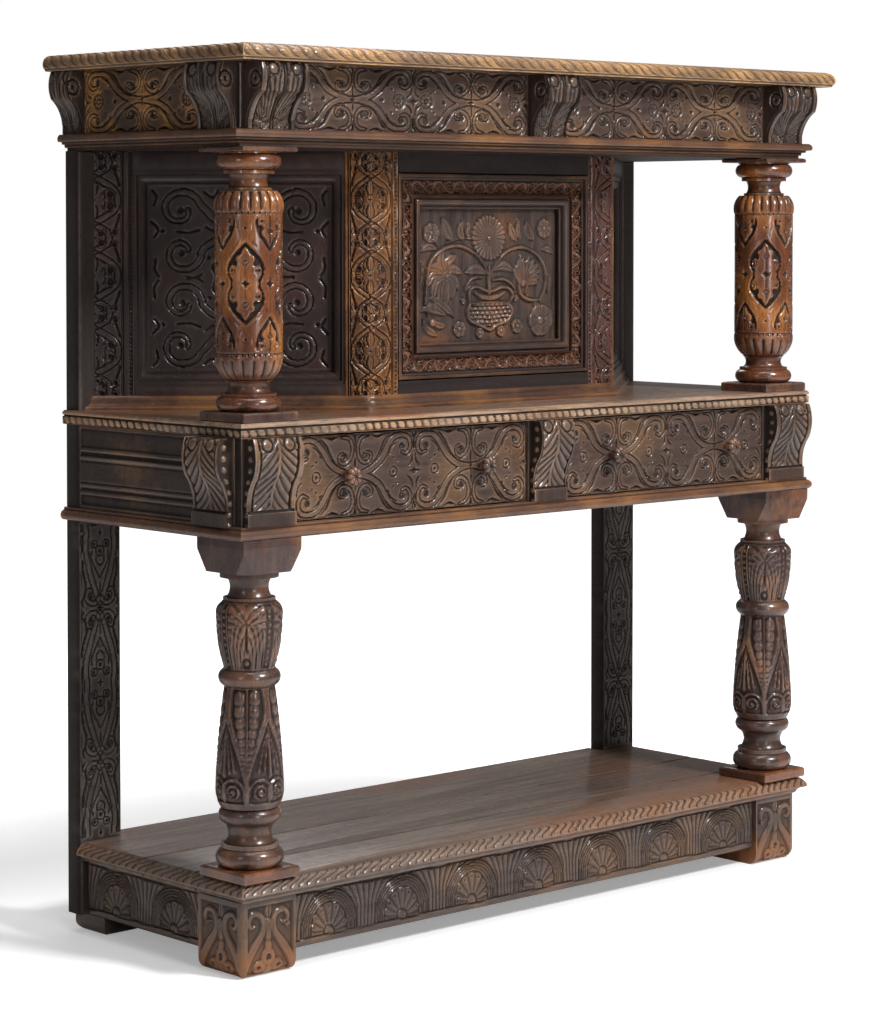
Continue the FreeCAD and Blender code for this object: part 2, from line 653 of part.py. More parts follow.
def makeDoor():
    """The door: frame with its pin bores and keyhole, bead moulding, panel and lock."""
    face = "-bay_front"
    back = "frame_thick - bay_front"
    opening = "door_half - door_rail"
    sill = "door_low + door_rail"
    lintel = "door_high - door_rail"
    slab = board(("-door_half", face, "door_low"), ("door_half", back, "door_high"))
    rounded = [("-door_half", "-bay_front - 1"), (PIN_X, "-bay_front - 1"),
               (PIN_X, face, QUARTER_HOLLOW), ("-door_half", PIN_Y)]
    bores = [pin("pin_bore_radius", low, high, PIN_X, PIN_Y)
             for low, high in (("door_low", "door_low + pin_depth + bolt_gap"),
                               ("door_high - pin_depth - bolt_gap", "door_high"))]
    keyhole = board(("keyhole_out - keyhole_half", face, "keyhole_level - keyhole_rise / 2"),
                    ("keyhole_out + keyhole_half", back, "keyhole_level + keyhole_rise / 2"))
    gap = board((f"-({opening})", face, sill), (opening, back, lintel))
    keep("door_frame", cut(slab, [gap, prism("plan", rounded, "door_low", "door_high"), keyhole]
                           + bores))
    inside = f"{opening} - door_moulding_width"
    ring = cut(board((f"-({opening})", "moulding_set - bay_front", sill),
                     (opening, "panel_set - bay_front", lintel)),
               [board((f"-({inside})", face, f"{sill} + door_moulding_width"),
                      (inside, back, f"{lintel} - door_moulding_width"))])
    keep("door_moulding", ring)
    keep("door_panel", board((f"-({opening})", "panel_set - bay_front", sill),
                             (opening, back, lintel)))
    case = board((LOCK_INNER, back, BOLT_LOW + " - (lock_rise - bolt_rise) / 2"),
                 ("door_half - bolt_gap", f"{back} + lock_thick",
                  BOLT_HIGH + " + (lock_rise - bolt_rise) / 2"))
    track = board((f"{LOCK_INNER} + bolt_gap", f"{BOLT_FRONT} - bolt_gap / 2",
                   BOLT_LOW + " - bolt_gap / 2"),
                  ("door_half", f"{BOLT_FRONT} + bolt_thick + bolt_gap / 2",
                   BOLT_HIGH + " + bolt_gap / 2"))
    keep("lock_case", cut(case, [track]))
    keep("lock_bolt", board((f"{LOCK_INNER} + 2 * bolt_gap", BOLT_FRONT, BOLT_LOW),
                            (f"{LOCK_INNER} + 2 * bolt_gap + bolt_length",
                             f"{BOLT_FRONT} + bolt_thick", BOLT_HIGH)))


def makeCornice():
    """The cornice moulding and soffit, the frieze box, its brackets and the top board."""
    keep("cornice_soffit", board(("-frieze_half", "-frieze_front", "cornice_low"),
                                 ("frieze_half", "back_line", "frieze_low")))
    keep("cornice_moulding", nosedStrip("cornice_half", "cornice_front", "frieze_half",
                                        "frieze_front", "cornice_low", "frieze_low",
                                        CORNICE_NOSE))
    keep("frieze_front_board",
         board(("-frieze_half", "-frieze_front", "frieze_low"),
               ("frieze_half", "frieze_thick - frieze_front", "frieze_top")))
    ends = []
    for side in (-1, 1):
        x_low, x_high = across(side, "frieze_half - frieze_thick", "frieze_half")
        ends.append(board((x_low, "frieze_thick - frieze_front", "frieze_low"),
                          (x_high, "back_line", "frieze_top")))
    keep("frieze_end_boards", gather(ends))
    keep("frieze_back_board",
         board(("frieze_thick - frieze_half", "back_line - frieze_thick", "frieze_low"),
               ("frieze_half - frieze_thick", "back_line", "frieze_top")))
    corner = "frieze_half - bracket_set - frieze_bracket_width / 2"
    fronts = []
    for width, x in (("frieze_bracket_width", f"-({corner})"), ("middle_bracket_width", "0"),
                     ("frieze_bracket_width", corner)):
        piece = bracket("frieze", "frieze_bracket_reach", width, "frieze_low", "frieze_top")
        fronts.append(place(piece, x, "-frieze_front"))
    keep("frieze_front_brackets", gather(fronts))
    sides = []
    for side in (-1, 1):
        for width, y in (("side_bracket_width",
                          "bracket_set + side_bracket_width / 2 - frieze_front"),
                         ("rear_bracket_width", "back_line - rear_bracket_width / 2")):
            piece = bracket("frieze", "frieze_side_reach", width, "frieze_low", "frieze_top")
            sides.append(place(piece, f"{side} * frieze_half", y, turn=90 * side))
    keep("frieze_side_brackets", gather(sides))
    keep("top_board", board(("-top_half", "-top_reach", "frieze_top"),
                            ("top_half", "top_reach", "overall_height")))


def checkModel():
    """Stop if any object failed, or any sub-part isn't a valid solid."""
    for item in doc.Objects:
        if "Invalid" in item.State or "Error" in item.State:
            raise RuntimeError(f"{item.Name} ({item.Label}) failed: {item.State}")
    for piece in subparts:
        shape = piece.Shape
        if shape.isNull() or not shape.isValid() or not shape.Solids:
            raise RuntimeError(f"{piece.Label} isn't a valid solid")


def writeParts():
    os.makedirs("parts", exist_ok=True)
    for piece in subparts:
        piece.Shape.exportStep(f"parts/{piece.Label}.step")
    print(len(subparts), "sub-parts written")


base_pegs = makeBase()
makePosts()
makeColumns()
makeTier()
makeTierBrackets()
for drawer_name, drawer_side in SIDES:
    makeDrawer(drawer_name, drawer_side)
keep("middle_shelf", cut(board(("-shelf_half", "-shelf_front", "shelf_low"),
                               ("shelf_half", "back_line", "shelf_top")),
                         postNotches("shelf_low", "shelf_top")))
makeCants()
bay_pegs = makeBay()
keep("joint_pegs", gather(base_pegs + bay_pegs))
makeDoor()
makeCornice()
doc.recompute()
checkModel()
writeParts()
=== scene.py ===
import json
import math
import time

import bpy
import numpy as np
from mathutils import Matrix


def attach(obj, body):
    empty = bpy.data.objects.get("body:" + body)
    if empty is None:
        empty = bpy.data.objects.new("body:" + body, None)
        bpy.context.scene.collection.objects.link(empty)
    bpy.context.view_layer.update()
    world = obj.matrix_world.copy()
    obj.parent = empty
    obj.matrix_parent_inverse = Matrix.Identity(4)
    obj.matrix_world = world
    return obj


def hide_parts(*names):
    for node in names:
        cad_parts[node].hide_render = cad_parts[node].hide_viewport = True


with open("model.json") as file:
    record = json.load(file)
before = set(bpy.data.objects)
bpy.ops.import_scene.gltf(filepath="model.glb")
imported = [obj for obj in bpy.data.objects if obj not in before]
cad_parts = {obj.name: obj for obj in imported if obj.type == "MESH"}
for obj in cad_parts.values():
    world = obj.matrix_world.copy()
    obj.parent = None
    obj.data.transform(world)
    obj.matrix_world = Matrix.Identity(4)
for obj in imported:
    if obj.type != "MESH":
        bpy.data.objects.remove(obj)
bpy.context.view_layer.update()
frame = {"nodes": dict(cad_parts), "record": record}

startTime = time.time()
mm = 0.001
mesher = {"coarsen": 1.0, "tileStep": 0.5, "mergeWithin": 0.00002, "smoothAngle": 42,
          "deepCut": 4.5}
nodes = frame["nodes"]
bodyOf = {node: body for body, members in frame["record"]["behaviour"]["bodies"].items() for node in members}
sides = (("left", -1), ("right", 1))


def report(stage):
    print(f"{stage}: {time.time() - startTime:.1f} s")


# places taken from the frame
def boxOf(node, side=0):  # low and high corner in mm, of one side's solid where the node has two
    points = np.empty(len(nodes[node].data.vertices) * 3)
    nodes[node].data.vertices.foreach_get("co", points)
    points = points.reshape(-1, 3) / mm
    if side:
        points = points[points[:, 0] * side > 0]
    return points.min(0), points.max(0)


def face(low, high, way):  # the plane of a box's carved side: where it starts, and its directions
    wide = high - low
    if way == "front":
        return {"origin": (low[0], low[1], low[2]), "across": (1, 0, 0), "out": (0, -1, 0),
                "width": wide[0], "height": wide[2], "thick": wide[1]}
    if way == "left":
        return {"origin": (low[0], high[1], low[2]), "across": (0, -1, 0), "out": (-1, 0, 0),
                "width": wide[1], "height": wide[2], "thick": wide[0]}
    return {"origin": (high[0], low[1], low[2]), "across": (0, 1, 0), "out": (1, 0, 0),
            "width": wide[1], "height": wide[2], "thick": wide[0]}


# lines that a carver would draw
def curve(points, between=8):  # a smooth line through a few set points
    p = np.array(points, float)
    p = np.vstack([2 * p[0] - p[1], p, 2 * p[-1] - p[-2]])
    t = np.linspace(0, 1, between, endpoint=False)[:, None]
    line = [0.5 * (2 * b + (c - a) * t + (2 * a - 5 * b + 4 * c - d) * t ** 2
                   + (3 * b - a - 3 * c + d) * t ** 3) for a, b, c, d in zip(p, p[1:], p[2:], p[3:])]
    return np.vstack(line + [p[-2:-1]])


def coil(centre, radii, angles, count=18):  # part of a spiral; the angles are in degrees
    angle = np.radians(np.linspace(angles[0], angles[1], count))
    radius = np.linspace(radii[0], radii[1], count)
    return np.column_stack([centre[0] + radius * np.cos(angle), centre[1] + radius * np.sin(angle)])


def arc(start, end, roundness, count=10):  # an arc that bulges to the right of its way
    start, end = np.array(start, float), np.array(end, float)
    if not roundness:
        return np.array([start, end])
    half = (end - start) / 2
    out = np.array([half[1], -half[0]])
    middle = (start + end) / 2
    radius = (1 + roundness ** 2) / (2 * abs(roundness))
    sweep = 2 * math.atan(roundness) * np.linspace(-1, 1, count)
    along = np.sin(sweep) * radius * np.sign(roundness)
    rise = (np.cos(sweep) - math.cos(2 * math.atan(roundness))) * radius * np.sign(roundness)
    return middle + along[:, None] * half + rise[:, None] * out


def outline(corners, count=10):  # corners as (a, b, roundness of the edge that leaves it)
    line = []
    for corner, after in zip(corners, corners[1:]):
        line += list(arc(corner[:2], after[:2], corner[2] if len(corner) > 2 else 0, count))[:-1]
    return np.array(line + [corners[-1][:2]])


def respace(line, step):  # the same line with points at even steps, its corners kept near enough
    lengths = np.hypot(*np.diff(line, axis=0).T)
    keep = np.concatenate([[True], lengths > 1e-6])
    line, lengths = line[keep], lengths[lengths > 1e-6]
    along = np.concatenate([[0], np.cumsum(lengths)])
    marks = np.unique(np.concatenate([np.arange(0, along[-1], step), along]).round(3))
    close = np.concatenate([[True], np.diff(marks) > step * 0.3])
    close[-1] = True
    corners = np.isin(marks, along.round(3))
    marks = marks[close | corners]
    return np.column_stack([np.interp(marks, along, line[:, 0]), np.interp(marks, along, line[:, 1])]), marks


# carving a drawn tile
def newTile(width, height, ground=0.0, step=mesher["tileStep"]):
    u, v = np.meshgrid(np.arange(0, width + step, step), np.arange(0, height + step, step))
    return {"u": u, "v": v, "cut": np.full(u.shape, float(ground)), "ground": ground, "step": step}


def near(tile, line, reach):  # the part of the tile close to a line, and its distances there
    line = np.atleast_2d(line)
    low = np.maximum(((line.min(0) - reach) / tile["step"]).astype(int), 0)
    high = ((line.max(0) + reach) / tile["step"]).astype(int) + 2
    part = np.s_[low[1]:max(high[1], 0), low[0]:max(high[0], 0)]
    u, v = tile["u"][part], tile["v"][part]
    best = np.full(u.shape, 1e9)
    along = np.zeros(u.shape)
    lengths = np.hypot(*np.diff(line, axis=0).T)
    done = 0
    for start, end, length in zip(line, line[1:], lengths):
        way = (end - start) / max(length, 1e-9)
        t = np.clip((u - start[0]) * way[0] + (v - start[1]) * way[1], 0, length)
        distance = np.hypot(u - start[0] - t * way[0], v - start[1] - t * way[1])
        closer = distance < best
        best = np.where(closer, distance, best)
        along = np.where(closer, (done + t) / lengths.sum(), along)
        done += length
    return part, best, along


def widths(along, width):  # one width, or several along the line
    return np.interp(along, np.linspace(0, 1, len(np.atleast_1d(width))), np.atleast_1d(width))


def sinkTo(tile, part, depth):  # wood cut away
    tile["cut"][part] = np.minimum(tile["cut"][part], -depth)


def raiseTo(tile, part, inside, height):  # wood left standing above the ground
    tile["cut"][part] = np.maximum(tile["cut"][part], np.where(inside, height, tile["ground"]))


def groove(tile, line, width, depth):  # a cut of rounded section along a line
    part, distance, along = near(tile, line, np.max(width))
    shape = np.clip(1 - (distance / np.maximum(widths(along, width) / 2, 0.01)) ** 2, 0, 1)
    sinkTo(tile, part, depth * shape)


def edges(tile, line, width, cut, depth):  # grooves down both edges of a band
    part, distance, along = near(tile, line, np.max(width))
    off = np.abs(distance - widths(along, width) / 2)
    sinkTo(tile, part, depth * np.clip(1 - (off / (cut / 2)) ** 2, 0, 1))


def band(tile, line, width, top=0.0, slope=1.2, crown=0.0):  # a raised band with sloping edges
    part, distance, along = near(tile, line, np.max(width))
    half = np.maximum(widths(along, width) / 2, 0.01)
    shape = np.clip((half - distance) / slope, 0, 1)
    rise = tile["ground"] + (top - tile["ground"]) * shape * (1 - crown * np.clip(distance / half, 0, 1) ** 2)
    raiseTo(tile, part, shape > 0, rise)


def oval(tile, centre, radii, turn=0):  # distance share from the middle of a turned oval
    reach = max(radii) + 1
    low = np.maximum(((np.array(centre) - reach) / tile["step"]).astype(int), 0)
    high = np.maximum(((np.array(centre) + reach) / tile["step"]).astype(int) + 2, 0)
    part = np.s_[low[1]:high[1], low[0]:high[0]]
    a, b = math.cos(math.radians(turn)), math.sin(math.radians(turn))
    u, v = tile["u"][part] - centre[0], tile["v"][part] - centre[1]
    return part, np.hypot((u * a + v * b) / radii[0], (v * a - u * b) / radii[1])


def pit(tile, centre, radii, depth, turn=0):  # a gouged hollow
    part, share = oval(tile, centre, radii, turn)
    sinkTo(tile, part, depth * np.clip(1 - share ** 2, 0, 1) ** 0.6)


def boss(tile, centre, radii, top=0.0, turn=0, steep=0.5):  # a rounded lump
    part, share = oval(tile, centre, radii, turn)
    rise = tile["ground"] + (top - tile["ground"]) * np.clip(1 - share ** 2, 0, 1) ** steep
    raiseTo(tile, part, share < 1, rise)


def blade(tile, shape, top=0.0, slope=1.4):  # a raised flat shape inside a closed outline
    closed = np.vstack([shape, shape[:1]])
    part, distance, along = near(tile, closed, 2)
    u, v = tile["u"][part], tile["v"][part]
    inside = np.zeros(u.shape, bool)
    for start, end in zip(closed, closed[1:]):
        rise = end[1] - start[1]
        if abs(rise) > 1e-9:
            crossed = (start[1] > v) != (end[1] > v)
            inside ^= crossed & (u < start[0] + (end[0] - start[0]) * (v - start[1]) / rise)
    height = tile["ground"] + (top - tile["ground"]) * np.clip(distance / slope, 0, 1) ** 0.6
    raiseTo(tile, part, inside, height)


def ring(tile, centre, radius, cut, depth):  # an incised circle
    groove(tile, coil(centre, (radius, radius), (0, 360), 24), cut, depth)


def star(tile, centre, radii, depth):  # a four-pointed hollow
    reach = max(radii)
    part, share = oval(tile, centre, (reach, reach))
    u = np.abs(tile["u"][part] - centre[0]) / radii[0]
    v = np.abs(tile["v"][part] - centre[1]) / radii[1]
    shape = np.clip(1 - (np.sqrt(u) + np.sqrt(v)), 0, 0.35) / 0.35
    sinkTo(tile, part, depth * shape ** 0.7)


def flower(tile, centre, radius, petals, top, eye=0.28):  # a rose of round petals about an eye
    part, share = oval(tile, centre, (radius, radius))
    angle = np.arctan2(tile["v"][part] - centre[1], tile["u"][part] - centre[0])
    lobe = np.abs(np.cos(angle * petals / 2))
    reach = share / (0.8 + 0.2 * lobe)
    dome = np.clip(1 - reach ** 4, 0, 1) ** 0.5
    rise = dome * (0.45 + 0.55 * lobe ** 0.6) * (0.6 + 0.4 * np.clip(share, 0, 1))
    rise = np.where(share < eye, np.sqrt(np.clip(1 - (share / eye) ** 2, 0, 1)) * 0.9, rise)
    rise = np.where(np.abs(share - eye) < 0.09, 0.15, rise)
    raiseTo(tile, part, reach < 1, tile["ground"] + (top - tile["ground"]) * rise)


def leaf(tile, line, width, top=0.0, lobes=0, vein=1.0):  # a pointed leaf with a cut vein
    part, distance, along = near(tile, line, np.max(width))
    half = widths(along, (0.2, 0.75, 1, 0.85, 0.1)) * width / 2
    if lobes:
        half = half * (0.8 + 0.2 * np.abs(np.cos(along * math.pi * lobes)))
    share = np.clip(distance / np.maximum(half, 0.01), 0, 1)
    rise = (1 - share ** 3) * (0.7 + 0.3 * share)
    height = tile["ground"] + (top - tile["ground"]) * rise
    raiseTo(tile, part, share < 1, height - vein * np.clip(1 - distance / 0.9, 0, 1) * (share < 1))


def heightAt(tile, u, v):  # the tile's cut at any place
    rows, columns = tile["cut"].shape
    x = np.clip(u / tile["step"], 0, columns - 1.001)
    y = np.clip(v / tile["step"], 0, rows - 1.001)
    i, j = y.astype(int), x.astype(int)
    a, b = y - i, x - j
    cut = tile["cut"]
    return ((cut[i, j] * (1 - b) + cut[i, j + 1] * b) * (1 - a)
            + (cut[i + 1, j] * (1 - b) + cut[i + 1, j + 1] * b) * a)


def fold(place, pitch):  # repeats with a mirror line at 0 and at each pitch
    return np.abs((place + pitch) % (2 * pitch) - pitch)


def handWobble(u, v, amount=0.5, size=37.0):  # no two cuts fall quite alike
    x, y = u / size, v / size
    sideways = np.sin(x * 2.1 + 1.3) * np.cos(y * 2.9 + 0.4) + 0.5 * np.sin(x * 5.3 + y * 3.1)
    upwards = np.cos(x * 2.7 + 0.6) * np.sin(y * 2.3 + 2.2) + 0.5 * np.cos(x * 4.7 - y * 4.1)
    return u + amount * sideways, v + amount * upwards


# making the meshes
def blur(grid, rounds):
    for number in range(rounds):
        g = np.pad(grid, 1, mode="edge")
        grid = (g[:-2, 1:-1] + g[2:, 1:-1] + g[1:-1, :-2] + g[1:-1, 2:] + 4 * g[1:-1, 1:-1]) / 8
    return grid


def wearAndPaintedLightMasks(cut, fine=8):  # ridges lightened as wear and painted highlight, hollows darkened as grime and painted shade, from the shape of the carving
    soft = blur(cut, fine)
    broad = blur(soft, fine * 3)
    crest = np.clip((cut - soft) * 1.6 + (cut - broad) * 0.35, 0, 1)
    hollow = np.clip((soft - cut) * 1.1 + (broad - cut) * 0.45, 0, 1)
    return crest, hollow


def wearAndPaintedLightLayers(cut, crest, hollow):  # what the finishes read from a piece: where wear and painted highlight, and grime and painted shade, go
    return {"crest": crest, "hollow": hollow, "depth": np.clip(-cut / mesher["deepCut"], 0, 1)}


def sectionOf(profile, step):  # a profile at even steps, with its direction and its outward normal
    section, marks = respace(np.array(profile, float), step)
    way = np.gradient(section, axis=0)
    way /= np.maximum(np.hypot(*way.T), 1e-9)[:, None]
    return section, marks, way, np.column_stack([way[:, 1], -way[:, 0]])


def bendOf(way, rounds):  # how sharply a section turns, above 0 on its ridges
    bend = np.zeros(len(way))
    bend[1:-1] = way[1:-1, 0] * (way[2:, 1] - way[:-2, 1]) - way[1:-1, 1] * (way[2:, 0] - way[:-2, 0])
    return blur(bend[:, None], rounds)


def finishPiece(piece, material, node):
    piece.data.materials.clear()
    piece.data.materials.append(material)
    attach(piece, bodyOf[node])
    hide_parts(node)


def gridPiece(name, points, layers):  # a grid shaped into a closed skin
    rows, columns = points.shape[:2]
    bpy.ops.object.select_all(action="DESELECT")
    bpy.ops.mesh.primitive_grid_add(x_subdivisions=columns - 1, y_subdivisions=rows - 1, size=1)
    piece = bpy.context.object
    piece.name = piece.data.name = name
    mesh = piece.data
    mesh.vertices.foreach_set("co", (points.reshape(-1, 3) * mm).ravel())
    for label, mask in layers.items():
        layer = mesh.attributes.new(label, "FLOAT", "POINT")
        layer.data.foreach_set("value", mask.astype(np.float32).ravel())
    while mesh.uv_layers:
        mesh.uv_layers.remove(mesh.uv_layers[0])
    bpy.ops.object.mode_set(mode="EDIT")
    bpy.ops.mesh.select_all(action="SELECT")
    bpy.ops.mesh.remove_doubles(threshold=mesher["mergeWithin"])
    bpy.ops.mesh.fill_holes(sides=0)
    bpy.ops.mesh.select_all(action="SELECT")
    bpy.ops.mesh.normals_make_consistent(inside=False)
    bpy.ops.object.mode_set(mode="OBJECT")
    bpy.ops.object.shade_smooth_by_angle(angle=math.radians(mesher["smoothAngle"]))
    return piece


def carvedBoard(name, place, relief, step, softEdge=1.2):
    # a squared board: its carved face is a fine grid, its four edges one strip each, its back one face
    step = step * mesher["coarsen"]
    width, height = place["width"], place["height"]
    columns = max(int(width / step), 2) + 1
    rows = max(int(height / step), 2) + 1
    u, v = np.meshgrid(np.linspace(0, width, columns), np.linspace(0, height, rows))
    cut = relief(u, v) if relief else np.zeros(u.shape)
    rim = np.minimum(np.minimum(u, width - u), np.minimum(v, height - v))
    cut = cut * np.clip(rim / 1.5, 0, 1) - softEdge * np.clip(1 - rim / (softEdge * 1.6), 0, 1) ** 2
    crest, hollow = wearAndPaintedLightMasks(cut)
    # board edges take the light ridge colour: edge wear and painted highlight
    crest = np.maximum(crest, np.clip(1 - rim / 2.5, 0, 1) * 0.8)
    origin, across = np.array(place["origin"]), np.array(place["across"], float)
    out, up = np.array(place["out"], float), np.array((0, 0, 1), float)
    points = (origin + u[..., None] * across + v[..., None] * up + cut[..., None] * out)
    edge = np.pad(points, ((1, 1), (1, 1), (0, 0)), mode="edge")
    drop = np.ones(edge.shape[:2], bool)
    drop[1:-1, 1:-1] = False
    flat = origin + np.pad(u, 1, mode="edge")[..., None] * across + np.pad(v, 1, mode="edge")[..., None] * up
    edge = np.where(drop[..., None], flat - place["thick"] * out, edge)
    layers = {label: np.pad(mask, 1) for label, mask in wearAndPaintedLightLayers(cut, crest, hollow).items()}
    return gridPiece(name, edge, layers)


def sweptPiece(name, corners, profile, moulded, relief, step, rowStep, axes=None, closed=False):
    # a profile taken round a closed path of straight runs with mitred corners
    # profile is (out, up) along the section; runs that aren't moulded stay straight at out = 0,
    # and a share in place of True gives a run that part of the profile, uncarved
    corners = [np.array(corner, float) for corner in corners]
    axes = axes or ((0, 0, 0), (1, 0, 0), (0, 1, 0), (0, 0, 1))
    origin, axisA, axisB, axisUp = (np.array(axis, float) for axis in axes)
    step = step * mesher["coarsen"]
    section, marks, way, normal = sectionOf(profile, rowStep * mesher["coarsen"])
    plainUp = np.linspace(section[0, 1], section[-1, 1], len(section))
    count = len(corners)
    runs = [corners[(i + 1) % count] - corners[i] for i in range(count)]
    lengths = [np.hypot(*run) for run in runs]
    outs = [np.array([run[1], -run[0]]) / length for run, length in zip(runs, lengths)]

    def offset(i):  # where the section's points lie at the corner that starts run i
        before, here = outs[i - 1], outs[i]
        a = section[:, 0] * moulded[i - 1]
        b = section[:, 0] * moulded[i]
        if abs(before @ here) > 0.999:
            return corners[i] + np.outer(b, here)
        solved = np.linalg.solve(np.array([before, here]), np.vstack([a, b]))
        return corners[i] + solved.T

    starts = [offset(i) for i in range(count)]
    points, cuts, rims = [], [], []
    for i in range(count):
        fine = moulded[i] is True and relief
        columns = max(int(lengths[i] / (step if fine else max(12.0, step))), 1)
        t = np.arange(columns) / columns
        along = t * lengths[i]
        start, end = starts[i], starts[(i + 1) % count]
        spot = start[:, None, :] * (1 - t)[None, :, None] + end[:, None, :] * t[None, :, None]
        up = np.repeat(section[:, 1][:, None], columns, 1)
        cut = np.zeros(up.shape)
        if fine:
            u, s = np.meshgrid(along, marks)
            cut = relief(u, s, i)
            cut = cut * np.clip(np.minimum(u, lengths[i] - u) / 3.0, 0, 1)
        elif not moulded[i] and not closed:
            up[:, 1:] = plainUp[:, None]
        spot = spot + cut[..., None] * normal[:, 0][:, None, None] * outs[i][None, None, :]
        up = up + cut * normal[:, 1][:, None]
        points.append(origin + spot[..., 0, None] * axisA + spot[..., 1, None] * axisB
                      + up[..., None] * axisUp)
        cuts.append(cut)
        rims.append(np.repeat(np.minimum(along, lengths[i] - along)[None, :], len(section), 0))
    points = np.concatenate(points + [points[0][:, :1]], 1)
    cut = np.concatenate(cuts + [cuts[0][:, :1]], 1)
    rim = np.concatenate(rims + [rims[0][:, :1]], 1)
    bend = bendOf(way, 1)
    crest, hollow = wearAndPaintedLightMasks(cut)
    # convex bends and run ends take the light ridge colour as wear and painted highlight; concave bends take
    # the dark hollow colour as grime and painted shade
    crest = np.clip(crest + np.clip(bend * 1.2, 0, 1) + np.clip(1 - rim / 3.0, 0, 1) * 0.7, 0, 1)
    hollow = np.clip(hollow + np.clip(-bend * 1.5, 0, 1), 0, 1)
    layers = wearAndPaintedLightLayers(cut, crest, hollow)
    if closed:
        points = np.concatenate([points, points[:1]], 0)
        layers = {label: np.concatenate([mask, mask[:1]], 0) for label, mask in layers.items()}
    return gridPiece(name, points, layers)


def turnedPiece(name, centre, foot, profile, relief, step, widest, axis="z"):
    # a turned member: profile is (radius, up), carved all round; steps are even at the widest radius
    step = step * mesher["coarsen"]
    section, marks, way, normal = sectionOf(profile, step)
    columns = int(2 * math.pi * widest / step)
    angle, s = np.meshgrid(np.linspace(0, 2 * math.pi, columns + 1), marks)
    cut = relief(angle, s, section)
    radius = np.maximum(section[:, 0][:, None] + cut * normal[:, 0][:, None], 0.3)
    up = section[:, 1][:, None] + cut * normal[:, 1][:, None]
    if axis == "z":
        points = np.stack([centre[0] + radius * np.cos(angle), centre[1] + radius * np.sin(angle),
                           foot + up], -1)
    else:  # a knob that points towards -y
        points = np.stack([centre[0] + radius * np.cos(angle), foot - up,
                           centre[1] + radius * np.sin(angle)], -1)
    bend = bendOf(way, 2)
    crest, hollow = wearAndPaintedLightMasks(cut)
    # convex bends take the light ridge colour as wear and painted highlight; concave bends take the dark
    # hollow colour as grime and painted shade
    crest = np.clip(crest + np.clip(bend * 0.9, 0, 1), 0, 1)
    hollow = np.clip(hollow + np.clip(-bend * 1.6, 0, 1), 0, 1)
    return gridPiece(name, points, wearAndPaintedLightLayers(cut, crest, hollow))


# oak and its finishes
def tint(red, green, blue):  # a screen colour of 0 to 255 as Blender's own
    return tuple((c / 255 / 12.92 if c <= 10 else ((c / 255 + 0.055) / 1.055) ** 2.4)
                 for c in (red, green, blue)) + (1,)


def addNode(tree, kind, place=(0, 0), **settings):
    node = tree.nodes.new(kind)
    node.location = place
    for name, value in settings.items():
        setattr(node, name, value)
    return node


def newGroup(name, inputs, outputs):  # a shader group with named sockets
    group = bpy.data.node_groups.new(name, "ShaderNodeTree")
    for label, kind, value in inputs:
        socket = group.interface.new_socket(label, in_out="INPUT", socket_type=kind)
        socket.default_value = value
    for label, kind in outputs:
        group.interface.new_socket(label, in_out="OUTPUT", socket_type=kind)
    return group, addNode(group, "NodeGroupInput", (-900, 0)), addNode(group, "NodeGroupOutput", (900, 0))


def mathNode(tree, operation, a, b=0.0, clamp=False):
    node = addNode(tree, "ShaderNodeMath", operation=operation, use_clamp=clamp)
    for socket, value in zip(node.inputs, (a, b)):
        if isinstance(value, (int, float)):
            socket.default_value = value
        else:
            tree.links.new(value, socket)
    return node.outputs[0]


def rampNode(tree, value, low, high, start=0.0, end=1.0):  # a smooth step between two levels
    node = addNode(tree, "ShaderNodeMapRange", interpolation_type="SMOOTHSTEP")
    tree.links.new(value, node.inputs["Value"])
    for label, number in (("From Min", low), ("From Max", high), ("To Min", start), ("To Max", end)):
        node.inputs[label].default_value = number
    return node.outputs["Result"]


def noiseNode(tree, vector, scale, detail=4.0, rough=0.6, twist=0.0):
    node = addNode(tree, "ShaderNodeTexNoise")
    tree.links.new(vector, node.inputs["Vector"])
    for label, number in (("Scale", scale), ("Detail", detail), ("Roughness", rough), ("Distortion", twist)):
        node.inputs[label].default_value = number
    return node.outputs["Fac"]


def makeGrainGroup():
    group, given, put = newGroup("oakGrain", [("Stretch", "NodeSocketVector", (1, 1, 1))],
                                 [("Figure", "NodeSocketFloat"), ("Pores", "NodeSocketFloat")])
    coordinates = addNode(group, "ShaderNodeTexCoord", (-900, 300))
    board = addNode(group, "ShaderNodeAttribute", (-900, 500), attribute_name="board")
    shifted = addNode(group, "ShaderNodeVectorMath", operation="ADD")
    group.links.new(coordinates.outputs["Object"], shifted.inputs[0])
    group.links.new(board.outputs["Fac"], shifted.inputs[1])
    stretched = addNode(group, "ShaderNodeVectorMath", operation="MULTIPLY")
    group.links.new(shifted.outputs[0], stretched.inputs[0])
    group.links.new(given.outputs["Stretch"], stretched.inputs[1])
    figure = noiseNode(group, stretched.outputs[0], 1.0, 5.0, 0.62, 0.6)
    pores = noiseNode(group, stretched.outputs[0], 9.0, 2.0, 0.5, 0.2)
    group.links.new(rampNode(group, figure, 0.3, 0.7), put.inputs["Figure"])
    group.links.new(rampNode(group, pores, 0.56, 0.68), put.inputs["Pores"])
    return group


